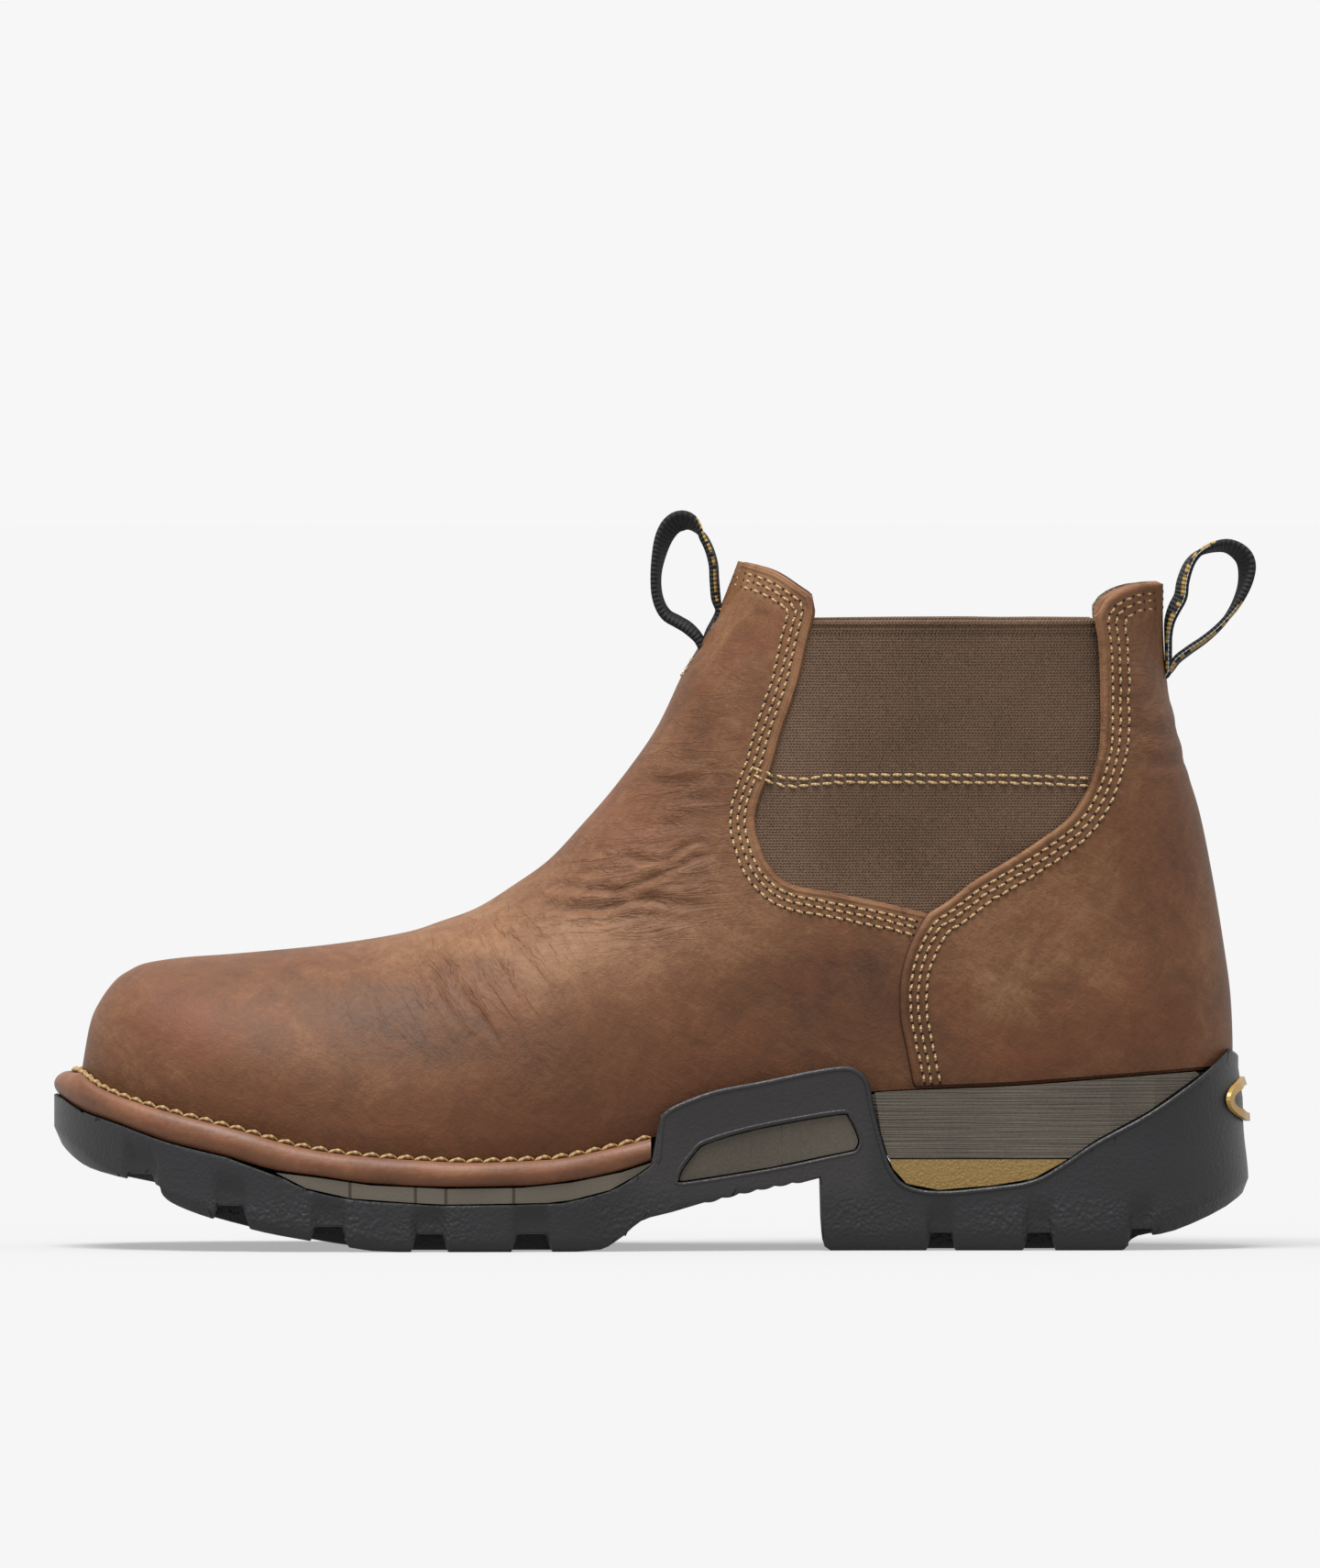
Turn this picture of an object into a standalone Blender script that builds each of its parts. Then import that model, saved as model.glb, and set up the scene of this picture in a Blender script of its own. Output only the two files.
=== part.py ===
"""Side gore work boot, left foot: toe towards -X, outer side towards -Y, floor at z = 0.

The origin is on the floor under the heel. Units are metres.
"""
import math

import bmesh
import bpy
import numpy as np
from mathutils import Vector

# Driving sizes
sole_length = 0.308
heel_back_x = 0.067
ball_width = 0.0975
heel_width = 0.0685
heel_height = 0.0424
shaft_height = 0.1766
collar_length = 0.108
collar_width = 0.078
toe_round = 0.052
toe_swing = 0.003
leather_wall = 0.0024
overlay_step = 0.0011
gore_thickness = 0.0015
gore_recess = 0.0009
gore_top_drop = 0.0163
insole_thickness = 0.004
welt_width = 0.007
wing_wall = 0.003
cup_thinning = 0.4
side_recess = 0.0009
lug_depth = 0.0046
lug_reach = 0.024
groove_side_depth = 0.0014
channel_height = 0.0125
loop_width = 0.013
loop_thickness = 0.0020
badge_width = 0.040
badge_height = 0.0115
badge_band = 0.0026
badge_relief = 0.0010
clearance = 0.0003
wing_over = 0.0045
sole_top = 0.010
tread_round = 0.0025
sole_inset = 0.003
hollow_over = 0.002
channel_half = 0.0025
channel_margin = 0.004
cut_beyond = 0.020
side_span = 0.100
welt_round = 0.0012
welt_shoulder = 0.0042
welt_lap = 0.85
band_lift = 0.0007

# Mesh fineness
upper_rows = 20
side_columns = 24
section_power = 2.2

# Side view of the upper. Columns: share of sole_length from the heel's back, share of shaft_height.
front_line = [
    (0.977, 0.257), (0.970, 0.324), (0.962, 0.357), (0.949, 0.388), (0.936, 0.404), (0.922, 0.414),
    (0.891, 0.422), (0.845, 0.428), (0.769, 0.441), (0.707, 0.458), (0.677, 0.474), (0.646, 0.494),
    (0.616, 0.527), (0.585, 0.566), (0.555, 0.621), (0.524, 0.687), (0.496, 0.757), (0.474, 0.837),
    (0.463, 0.869), (0.447, 0.917), (0.432, 0.981), (0.428, 1.000)]
back_line = [
    (0.019, 0.260), (0.019, 0.309), (0.021, 0.373), (0.026, 0.437), (0.035, 0.533), (0.046, 0.629),
    (0.057, 0.693), (0.066, 0.757), (0.074, 0.824), (0.077, 0.900), (0.077, 0.969)]
# Columns: share of the collar from front to back, drop below the straight line as share of shaft_height.
collar_line = [(0.0, 0.0), (0.08, 0.012), (0.16, 0.040), (0.22, 0.060), (0.50, 0.072), (0.80, 0.062),
               (0.845, 0.050), (0.87, 0.028), (0.91, 0.012), (0.95, 0.004), (1.0, 0.0)]
gore_edge = [
    (0.366, 0.928), (0.372, 0.885), (0.381, 0.818), (0.394, 0.752), (0.402, 0.701), (0.411, 0.660),
    (0.415, 0.620), (0.408, 0.574), (0.398, 0.548), (0.383, 0.530), (0.350, 0.519), (0.310, 0.505),
    (0.269, 0.488), (0.252, 0.506), (0.232, 0.534), (0.213, 0.554), (0.187, 0.582), (0.161, 0.614),
    (0.149, 0.634), (0.137, 0.668), (0.130, 0.707), (0.126, 0.752), (0.127, 0.866), (0.131, 0.920)]
quarter_seam = [(0.280, 0.238), (0.287, 0.299), (0.291, 0.332), (0.292, 0.367), (0.291, 0.394),
                (0.287, 0.425), (0.280, 0.455), (0.269, 0.488)]

# Side view of the sole. Columns: share of sole_length, share of heel_height.
feather_line = [
    (0.977, 1.068), (0.960, 0.983), (0.924, 0.889), (0.882, 0.807), (0.840, 0.731), (0.798, 0.645),
    (0.756, 0.594), (0.700, 0.561), (0.651, 0.545), (0.587, 0.561), (0.545, 0.611), (0.502, 0.684),
    (0.406, 0.837), (0.315, 0.962), (0.202, 1.000), (0.150, 1.028), (0.042, 1.085), (0.019, 1.092)]
welt_foot = [
    (0.998, 0.929), (0.977, 0.840), (0.945, 0.762), (0.903, 0.656), (0.855, 0.573), (0.813, 0.490),
    (0.777, 0.455), (0.734, 0.410), (0.671, 0.389), (0.609, 0.394), (0.567, 0.425), (0.525, 0.486),
    (0.499, 0.547)]
band_foot = [
    (0.813, 0.472), (0.788, 0.380), (0.750, 0.318), (0.700, 0.292), (0.671, 0.281), (0.587, 0.290),
    (0.567, 0.307), (0.535, 0.366), (0.514, 0.450), (0.501, 0.516)]
wing_edge = [
    (0.497, 0.524), (0.493, 0.823), (0.481, 0.884), (0.448, 0.974), (0.409, 1.028), (0.368, 1.090),
    (0.339, 1.118), (0.327, 1.090), (0.319, 1.019), (0.315, 0.868), (0.310, 0.717), (0.304, 0.568),
    (0.300, 0.495), (0.288, 0.399), (0.261, 0.361), (0.215, 0.389), (0.182, 0.429), (0.158, 0.524),
    (0.129, 0.663), (0.085, 0.835), (0.042, 1.052), (0.018, 1.208), (-0.010, 1.070)]
window_edge = [
    (0.478, 0.434), (0.475, 0.495), (0.464, 0.601), (0.454, 0.656), (0.413, 0.741), (0.345, 0.828),
    (0.335, 0.802), (0.327, 0.672), (0.330, 0.606), (0.360, 0.561), (0.401, 0.500), (0.472, 0.420)]
tread_line = [
    (1.016, 0.901), (1.016, 0.779), (1.000, 0.729), (0.994, 0.634), (0.979, 0.533), (0.960, 0.472),
    (0.910, 0.394), (0.907, 0.333), (0.895, 0.274), (0.865, 0.196), (0.823, 0.118), (0.788, 0.071),
    (0.752, 0.028), (0.711, 0.000), (0.562, 0.000), (0.531, 0.057), (0.509, 0.184), (0.483, 0.238),
    (0.442, 0.323), (0.401, 0.389), (0.360, 0.441), (0.358, 0.071), (0.351, 0.000), (0.107, 0.000),
    (0.094, 0.075), (0.064, 0.118), (0.021, 0.255), (-0.010, 0.430)]
# Columns: share of sole_length, height of the outsole's lowest point as share of heel_height.
ground_line = [(1.0, 0.70), (0.960, 0.472), (0.895, 0.274), (0.823, 0.118), (0.752, 0.028), (0.711, 0.0),
               (0.107, 0.0), (0.064, 0.118), (0.021, 0.255), (0.0, 0.36)]
# Floor of the outsole's hollow, which the midsole lies in.
hollow_floor = [(0.600, 0.30), (0.530, 0.37), (0.497, 0.40), (0.442, 0.43), (0.360, 0.56), (0.0, 0.56)]
# Top of the heel's tan layer as share of heel_height.
insert_top = 0.552
# Height of the heel's back line, and how far it lies in front of the sole's end, as share of welt_width.
heel_lean = [(0.0, 0.05), (0.40, 0.0), (0.73, 0.18), (0.93, 0.22), (1.05, 0.42), (1.18, 0.52), (1.4, 0.57)]

# Plan of the feather line. Columns: share of sole_length, outer half, inner half,
# and how far the row follows heel_width instead of ball_width.
plan = [
    (0.00, 0.500, 0.500, 1.0), (0.10, 0.510, 0.505, 1.0), (0.20, 0.515, 0.485, 1.0),
    (0.30, 0.520, 0.440, 1.0), (0.40, 0.463, 0.352, 0.5), (0.50, 0.441, 0.338, 0.0),
    (0.58, 0.487, 0.400, 0.0), (0.66, 0.513, 0.456, 0.0), (0.74, 0.513, 0.487, 0.0),
    (0.82, 0.490, 0.496, 0.0), (0.90, 0.450, 0.480, 0.0), (1.00, 0.400, 0.450, 0.0)]
# Columns: share of sole_length, sole's ledge beyond the feather line as share of welt_width.
ledge_plan = [(0.0, 0.81), (0.1, 0.70), (0.3, 0.62), (0.45, 0.62), (0.52, 0.86), (0.6, 0.97), (1.0, 1.01)]
# Columns: height over the feather line as share of shaft_height, bulge of the wall.
wall_bulge = [(0.0, 1.0), (0.04, 1.028), (0.11, 1.045), (0.20, 1.03), (0.35, 0.98), (1.0, 0.98)]
# Columns: share of shaft_height, half width as share of collar_width.
shaft_half = [(0.0, 0.44), (0.5, 0.44), (0.65, 0.455), (0.8, 0.48), (1.0, 0.50)]
# Columns: share of shaft_height, length of the rounding at the back as share of collar_length.
back_round = [(0.25, 0.36), (0.6, 0.42), (1.0, 0.49)]
# Columns: row, share along the front line, share along the back line.
row_places = [
    (0.0, 0.0, 0.0), (0.1, 0.045, 0.06), (0.2, 0.10, 0.12), (0.3, 0.165, 0.18), (0.4, 0.255, 0.25),
    (0.5, 0.36, 0.33), (0.6, 0.47, 0.42), (0.7, 0.58, 0.52), (0.8, 0.70, 0.64), (0.9, 0.85, 0.82),
    (1.0, 1.0, 1.0)]

# Side grooves between the lugs: share of sole_length at their middle, width share.
fore_grooves = [(0.926, 0.028), (0.851, 0.029), (0.769, 0.031), (0.685, 0.030), (0.600, 0.033)]
heel_grooves = [(0.259, 0.023), (0.177, 0.026), (0.092, 0.022)]
centre_grooves = [0.888, 0.810, 0.727, 0.643, 0.300, 0.238, 0.150]

# Pull loops, side view. Columns: share of collar_length behind the collar's front end (or its back end),
# height above the collar's end as share of shaft_height.
front_loop = [(-0.152, -0.130), (-0.175, -0.088), (-0.208, -0.045), (-0.215, 0.005), (-0.185, 0.050),
              (-0.142, 0.068), (-0.098, 0.048), (-0.066, 0.0), (-0.058, -0.045)]
rear_loop = [(0.044, -0.016), (0.092, 0.038), (0.160, 0.060), (0.208, 0.050), (0.229, 0.020),
             (0.198, -0.030), (0.152, -0.068), (0.084, -0.101), (0.050, -0.118)]
front_loop_seats = ((0.835, 0.875), (0.905, 0.955))
rear_loop_seats = ((0.868, 0.915), (0.800, 0.835))


def smooth_table(rows, column=1):
    """A monotone curve through the rows, as a function of the first column."""
    order = sorted(rows)
    xs = np.array([row[0] for row in order], dtype=float)
    ys = np.array([row[column] for row in order], dtype=float)
    rise = np.diff(ys) / np.diff(xs)
    slope = np.zeros(len(xs))
    slope[0], slope[-1] = rise[0], rise[-1]
    for i in range(1, len(xs) - 1):
        if rise[i - 1] * rise[i] > 0:
            slope[i] = 2 * rise[i - 1] * rise[i] / (rise[i - 1] + rise[i])

    def value(x):
        x = np.clip(x, xs[0], xs[-1])
        i = np.clip(np.searchsorted(xs, x) - 1, 0, len(rise) - 1)
        width = xs[i + 1] - xs[i]
        t = (x - xs[i]) / width
        return (ys[i] * (1 + 2 * t) * (1 - t) ** 2 + ys[i + 1] * t * t * (3 - 2 * t)
                + width * (slope[i] * t * (1 - t) ** 2 - slope[i + 1] * t * t * (1 - t)))
    return value


def smooth_step(low, high, x):
    t = np.clip((x - low) / (high - low), 0.0, 1.0)
    return t * t * (3 - 2 * t)


def spline(points, steps, closed=False):
    """Catmull-Rom curve through 2D or 3D points."""
    pts = [np.array(p, dtype=float) for p in points]
    count = len(pts)
    ends = [2 * pts[0] - pts[1]] + pts + [2 * pts[-1] - pts[-2]]
    result = []
    for i in range(count if closed else count - 1):
        if closed:
            a, b, c, d = (pts[(i + k - 1) % count] for k in range(4))
        else:
            a, b, c, d = ends[i:i + 4]
        for k in range(steps):
            t = k / steps
            result.append(0.5 * (2 * b + (c - a) * t + (2 * a - 5 * b + 4 * c - d) * t * t
                                 + (3 * b - a - 3 * c + d) * t ** 3))
    if not closed:
        result.append(pts[-1])
    return result


def side_x(share):
    """Place along the boot of a share of its length, counted from the heel's back."""
    return heel_back_x - share * sole_length


def length_share(x):
    return (heel_back_x - x) / sole_length


def shaft_points(rows):
    return [(side_x(s), z * shaft_height) for s, z in rows]


def sole_points(rows):
    return [(side_x(s), z * heel_height) for s, z in rows]


class Polyline:
    """A dense curve that is read by its share of length."""

    def __init__(self, points):
        self.points = np.array(points)
        steps = np.linalg.norm(np.diff(self.points, axis=0), axis=1)
        self.run = np.concatenate([[0.0], np.cumsum(steps)]) / steps.sum()

    def at(self, share):
        return np.array([np.interp(share, self.run, self.points[:, k]) for k in range(2)])

    def distance(self, x, z):
        return np.hypot(self.points[:, 0] - x, self.points[:, 1] - z).min()


feather_share = smooth_table(feather_line)
plan_outer = smooth_table(plan, 1)
plan_inner = smooth_table(plan, 2)
plan_heel = smooth_table(plan, 3)
ledge_share = smooth_table(ledge_plan)
bulge = smooth_table(wall_bulge)
shaft_share = smooth_table(shaft_half)
back_round_share = smooth_table(back_round)
row_front = smooth_table(row_places, 1)
row_back = smooth_table(row_places, 2)
collar_drop = smooth_table(collar_line)
ground_share = smooth_table(ground_line)
lean_share = smooth_table(heel_lean)
welt_foot_share = smooth_table(welt_foot)


def feather_z(x):
    return heel_height * feather_share(length_share(x))


toe_x = side_x(feather_line[0][0])
front_points = shaft_points(front_line)
front_points[0] = (toe_x, float(feather_z(toe_x)))
back_points = shaft_points(back_line)
back_points[0] = (back_points[0][0], float(feather_z(back_points[0][0])))
front_curve = Polyline(spline(front_points, 8))
back_curve = Polyline(spline(back_points, 6))
collar_front = front_curve.at(1.0)
collar_back = back_curve.at(1.0)


def top_z(x):
    """Height of the toe and instep line over a place along the boot."""
    return np.interp(x, front_curve.points[:, 0], front_curve.points[:, 1])


def front_x(z):
    """Place of the shaft's front line at a height on the shaft."""
    return np.interp(z, front_curve.points[:, 1], front_curve.points[:, 0])


def back_x(z):
    return np.interp(z, back_curve.points[:, 1], back_curve.points[:, 0])


def round_off(depth):
    """Superellipse that is 0 at an edge and 1 from depth 1 inwards."""
    return (1 - (1 - np.clip(depth, 0.0, 1.0)) ** section_power) ** (1 / section_power)


def centre_y(x):
    return toe_swing * smooth_step(0.65, 1.0, length_share(x))


def upper_y(x, z, side):
    """Outer face of the upper: side is -1 on the outer side of the foot and 1 on the inner side."""
    share = length_share(x)
    base = heel_width * plan_heel(share) + ball_width * (1 - plan_heel(share))
    half = base * (plan_outer(share) if side < 0 else plan_inner(share))
    height = max(z - feather_z(x), 0.0)
    half = half * bulge(height / shaft_height)
    on_shaft = smooth_step(0.38, 0.68, z / shaft_height)
    half = half * (1 - on_shaft) + collar_width * shaft_share(z / shaft_height) * on_shaft
    toe_end = round_off((x - toe_x) / toe_round)
    section_height = max(top_z(x) - feather_z(x), 1e-6)
    toe_top = (1 - np.clip(height / section_height, 0, 1) ** 2.5) ** 0.5
    instep_top = round_off(front_curve.distance(x, z) / (0.54 * collar_length))
    on_vamp = 1 - smooth_step(0.70, 0.85, share)
    top = toe_top * (1 - on_vamp) + instep_top * on_vamp
    heel_end = round_off((back_x(z) - x) / (back_round_share(z / shaft_height) * collar_length))
    middle = centre_y(x)
    return middle + side * (half - side * middle) * toe_end * top * heel_end


def upper_grid(low=0.0, high=1.0, rows=upper_rows):
    """Outer face of the upper as closed rings from the feather line to the collar."""
    chord_front, chord_back = front_curve.at(0.0), back_curve.at(0.0)

    def below_chord(x):
        foot = (x - chord_front[0]) / (chord_back[0] - chord_front[0])
        return feather_z(x) - chord_front[1] - (chord_back[1] - chord_front[1]) * foot

    grid = []
    for k in range(rows + 1):
        row = low + (high - low) * k / rows
        front = front_curve.at(row_front(row))
        back = back_curve.at(row_back(row))
        sag, rise = (1 - row) ** 1.5, row ** 5
        at_front, at_back = below_chord(front[0]), below_chord(back[0])
        half_ring = []
        for j in range(side_columns + 1):
            share = 0.5 - 0.5 * math.cos(math.pi * j / side_columns)
            x = front[0] + (back[0] - front[0]) * share
            z = front[1] + (back[1] - front[1]) * share
            hang = below_chord(x) - at_front * (1 - share) - at_back * share
            z += hang * sag - collar_drop(share) * shaft_height * rise
            half_ring.append((x, z))
        outer = [(x, float(upper_y(x, z, -1)), z) for x, z in half_ring]
        inner = [(x, float(upper_y(x, z, 1)), z) for x, z in half_ring[1:-1]]
        grid.append(outer + inner[::-1])
    return np.array(grid, dtype=float)


def grid_normals(grid):
    """Outward normals of a grid of closed rings that runs upwards."""
    along = np.roll(grid, -1, axis=1) - np.roll(grid, 1, axis=1)
    up = np.gradient(grid, axis=0)
    normal = np.cross(along, up)
    return normal / np.linalg.norm(normal, axis=2)[:, :, None]


def make_object(name, mesh, hidden=False):
    thing = bpy.data.objects.new(name, mesh)
    (tools if hidden else boot).objects.link(thing)
    if hidden:
        thing.hide_render = True
        thing.display_type = 'WIRE'
    return thing


def mesh_of(name, build):
    bm = bmesh.new()
    build(bm)
    bmesh.ops.recalc_face_normals(bm, faces=bm.faces)
    mesh = bpy.data.meshes.new(name)
    bm.to_mesh(mesh)
    bm.free()
    return mesh


def shell_mesh(name, outer, inner):
    """A hollow wall between two grids of rings, open at the bottom and the top."""
    def build(bm):
        rings = [*outer, *inner[::-1]]
        rows = [[bm.verts.new(p) for p in ring] for ring in rings]
        for a, b in zip(rows, rows[1:] + rows[:1]):
            for i in range(len(a)):
                j = (i + 1) % len(a)
                bm.faces.new((a[i], a[j], b[j], b[i]))
    return mesh_of(name, build)


def stack_mesh(name, rings):
    """A solid through closed rings, its ends closed by strips across the two sides."""
    def build(bm):
        rows = [[bm.verts.new(p) for p in ring] for ring in rings]
        count = len(rows[0])
        for a, b in zip(rows, rows[1:]):
            for i in range(count):
                j = (i + 1) % count
                bm.faces.new((a[i], a[j], b[j], b[i]))
        half = count // 2
        for ring in (rows[0], rows[-1]):
            bm.faces.new((ring[0], ring[1], ring[-1]))
            bm.faces.new((ring[half - 1], ring[half], ring[half + 1]))
            for i in range(1, half - 1):
                bm.faces.new((ring[i], ring[i + 1], ring[count - i - 1], ring[count - i]))
    return mesh_of(name, build)


def sweep_mesh(name, sections, closed=False):
    """A solid through sections of equal point count."""
    def build(bm):
        rows = [[bm.verts.new(p) for p in section] for section in sections]
        pairs = list(zip(rows, rows[1:]))
        if closed:
            pairs.append((rows[-1], rows[0]))
        for a, b in pairs:
            for i in range(len(a)):
                j = (i + 1) % len(a)
                bm.faces.new((a[i], a[j], b[j], b[i]))
        if not closed:
            bm.faces.new(rows[0])
            bm.faces.new(rows[-1])
    return mesh_of(name, build)


def plates(name, outlines, low_y=-side_span, high_y=side_span):
    """Flat outlines of the side view, extruded across the boot, as one cutter."""
    def build(bm):
        for outline in outlines:
            face = bm.faces.new([bm.verts.new((x, low_y, z)) for x, z in outline])
            pushed = bmesh.ops.extrude_face_region(bm, geom=[face])
            moved = [v for v in pushed['geom'] if isinstance(v, bmesh.types.BMVert)]
            bmesh.ops.translate(bm, verts=moved, vec=(0, high_y - low_y, 0))
    return make_object(name, mesh_of(name, build), hidden=True)


def boxes(name, places):
    """Boxes given by their low and high corners, as one cutter."""
    def build(bm):
        for low, high in places:
            made = bmesh.ops.create_cube(bm, size=1.0)
            for vert in made['verts']:
                vert.co = Vector([low[k] + (vert.co[k] + 0.5) * (high[k] - low[k]) for k in range(3)])
    return make_object(name, mesh_of(name, build), hidden=True)


def cut(target, tool, operation='DIFFERENCE'):
    step = target.modifiers.new(operation.title() + ' ' + tool.name, 'BOOLEAN')
    step.object = tool
    step.operation = operation
    step.solver = 'EXACT'


def inset(outline, distance):
    """A closed outline moved inwards by a distance."""
    pts = np.array(outline, dtype=float)
    before, after = np.roll(pts, 1, axis=0), np.roll(pts, -1, axis=0)
    area = np.sum(pts[:, 0] * after[:, 1] - after[:, 0] * pts[:, 1])
    turn = 1.0 if area > 0 else -1.0
    moved = []
    for p, a, b in zip(pts, before, after):
        first = (p - a) / np.linalg.norm(p - a)
        second = (b - p) / np.linalg.norm(b - p)
        n1 = turn * np.array((-first[1], first[0]))
        n2 = turn * np.array((-second[1], second[0]))
        corner = n1 + n2
        corner = corner / max(np.dot(corner, n1), 0.35)
        moved.append(tuple(p + corner * distance))
    return moved


def material(name, colour, roughness, metallic=0.0):
    made = bpy.data.materials.new(name)
    made.use_nodes = True
    shader = made.node_tree.nodes['Principled BSDF']
    shader.inputs['Base Color'].default_value = (*colour, 1.0)
    shader.inputs['Roughness'].default_value = roughness
    shader.inputs['Metallic'].default_value = metallic
    return made


def finish(thing, finish_material):
    thing.data.materials.append(finish_material)
    return thing


def feather_outline():
    """Plan of the upper's lower edge: toe, outer side, heel, inner side."""
    heel_x = back_points[0][0]
    xs = [toe_x + (heel_x - toe_x) * (0.5 - 0.5 * math.cos(math.pi * j / side_columns))
          for j in range(side_columns + 1)]
    outer = [(x, float(upper_y(x, feather_z(x), -1))) for x in xs]
    inner = [(x, float(upper_y(x, feather_z(x), 1))) for x in xs[1:-1]]
    return np.array(outer + inner[::-1])


feather = feather_outline()
after = np.roll(feather, -1, axis=0) - np.roll(feather, 1, axis=0)
feather_out = np.stack([after[:, 1], -after[:, 0]], axis=1)
feather_out = feather_out / np.linalg.norm(feather_out, axis=1)[:, None]
ledge = np.array([welt_width * ledge_share(length_share(x)) for x, _ in feather])


def sole_ring(height, back_off=0.0):
    """Sole outline at a height that is a function of x, moved inwards by back_off.

    Over the feather line it keeps clear of the upper, as the wings and the heel cup do.
    """
    skin = overlay_step + 2 * clearance
    wall_left = wing_wall - back_off
    ring = []
    for point, out, width in zip(feather, feather_out, ledge):
        reach = width - back_off
        x, y = point + out * reach
        z = float(height(x))
        heel_part = 1 - smooth_step(0.0, 0.30, length_share(x))
        lean = welt_width * lean_share(z / heel_height) * heel_part
        if z > feather_z(x) - gore_recess and point[0] > side_x(0.6):
            x = point[0] + out[0] * max(reach - lean, skin + cup_thinning * wall_left)
            side = -1 if y < centre_y(x) else 1
            wall = abs(upper_y(x, z, side)) + skin + wall_left
            y = side * max(abs(y), wall) if abs(y) > wing_wall else y
        else:
            x -= lean
        ring.append((x, y, z))
    return ring


def sole_stack(name, low, levels, back_off=0.0, low_inset=0.0):
    rings = [sole_ring(low, back_off + low_inset)]
    rings += [sole_ring(level, back_off) for level in levels]
    return stack_mesh(name, rings)


def ground_z(x):
    return heel_height * ground_share(length_share(x))


def at_share(share):
    """Height between the ground line and the feather line."""
    return lambda x: ground_z(x) + (feather_z(x) - ground_z(x)) * share


def over_feather(height):
    return lambda x: feather_z(x) + height


sole_levels = [lambda x: ground_z(x) + tread_round, at_share(0.4), at_share(0.75), feather_z,
               over_feather(wing_over), over_feather(sole_top)]


def make_upper():
    outer = upper_grid()
    normals = grid_normals(outer)
    inner = outer - normals * leather_wall
    inner[0, :, 2] = outer[0, :, 2]
    upper = finish(make_object('upper', shell_mesh('upper', outer, inner)), leather)

    cover = upper_grid(0.012, 0.985)
    cover_normals = grid_normals(cover)
    overlay = make_object('quarter_overlay', shell_mesh(
        'quarter_overlay', cover + cover_normals * overlay_step,
        cover - cover_normals * leather_wall * 0.4), hidden=True)
    seam = shaft_points(quarter_seam)
    reach = heel_back_x + cut_beyond
    quarter = [(seam[0][0], cut_beyond)] + seam + [
        (side_x(0.215), 0.65 * shaft_height), (side_x(0.18), 1.1 * shaft_height),
        (reach, 1.1 * shaft_height), (reach, cut_beyond)]
    cut(overlay, plates('quarter_plate', [quarter]), 'INTERSECT')
    cut(upper, overlay, 'UNION')
    top = 1.15 * shaft_height
    opening = shaft_points(gore_edge)
    opening = [(opening[0][0] + gore_recess, top)] + opening + [(opening[-1][0] - gore_recess, top)]
    cut(upper, plates('gore_opening', [opening]))
    return upper


def make_gores():
    outer = upper_grid()
    normals = grid_normals(outer)
    panel = inset(shaft_points(gore_edge), clearance)
    top = shaft_height - gore_top_drop
    panel = [(x, min(z, top)) for x, z in panel]
    for name, low_y, high_y in (('gore_lateral', -side_span, 0.0), ('gore_medial', 0.0, side_span)):
        mesh = shell_mesh(name, outer - normals * gore_recess,
                          outer - normals * (gore_recess + gore_thickness))
        gore = finish(make_object(name, mesh), elastic)
        cut(gore, plates(name + '_plate', [panel], low_y, high_y), 'INTERSECT')


def grooves():
    """Cutters for the tread: gaps between the side lugs, gaps between the middle lugs, side channels."""
    deep, shallow = [], []
    edges = {side: sorted((x, side * y) for x, y, _ in sole_ring(ground_z) if side * y > 0)
             for side in (-1, 1)}
    for share, width in fore_grooves + heel_grooves:
        x, half = side_x(share), 0.5 * width * sole_length
        ceiling = ground_z(x) + lug_depth
        for side in (-1, 1):
            edge = np.interp(x, *zip(*edges[side]))
            span = sorted((side * (edge - lug_reach), side * (edge + cut_beyond)))
            deep.append(((x - half, span[0], ground_z(x) - cut_beyond), (x + half, span[1], ceiling)))
            span = sorted((side * (edge - groove_side_depth), side * (edge + cut_beyond)))
            shallow.append(((x - half * 0.8, span[0], ceiling - clearance),
                            (x + half * 0.8, span[1], ground_z(x) + channel_height)))
    for share in centre_grooves:
        x = side_x(share)
        low, high = (np.interp(x, *zip(*edges[side])) for side in (-1, 1))
        deep.append(((x - channel_half, lug_reach + channel_margin - low, ground_z(x) - cut_beyond),
                     (x + channel_half, high - lug_reach - channel_margin, ground_z(x) + lug_depth)))
    return boxes('tread_grooves', deep), boxes('side_channels', shallow)


def make_outsole():
    toe_rim = [(s + 0.018 if s > 0.99 else s, z) for s, z in welt_foot[:5]]
    outline = sole_points(tread_line) + sole_points(wing_edge[::-1] + band_foot[::-1] + toe_rim[::-1])
    mesh = sole_stack('outsole', lambda x: ground_z(x) - sole_inset, sole_levels, low_inset=sole_inset)
    outsole = finish(make_object('outsole', mesh), rubber)
    cut(outsole, plates('black_plate', [outline]), 'INTERSECT')

    def floor(x):
        return heel_height * np.interp(length_share(x), *zip(*sorted(hollow_floor)))
    levels = [feather_z, over_feather(wing_over), over_feather(sole_top + hollow_over)]
    hollow = make_object('sole_hollow', sole_stack('sole_hollow', floor, levels, wing_wall), hidden=True)
    fore = plates('hollow_plate', [[(side_x(0.60), 0.0), (side_x(-0.1), 0.0),
                                    (side_x(-0.1), side_span), (side_x(0.60), side_span)]])
    cut(hollow, fore, 'INTERSECT')
    cut(outsole, hollow)
    cut(outsole, plates('window_plate', [sole_points(window_edge)]))
    deep, shallow = grooves()
    cut(outsole, deep)
    cut(outsole, shallow)
    return outsole


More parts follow.
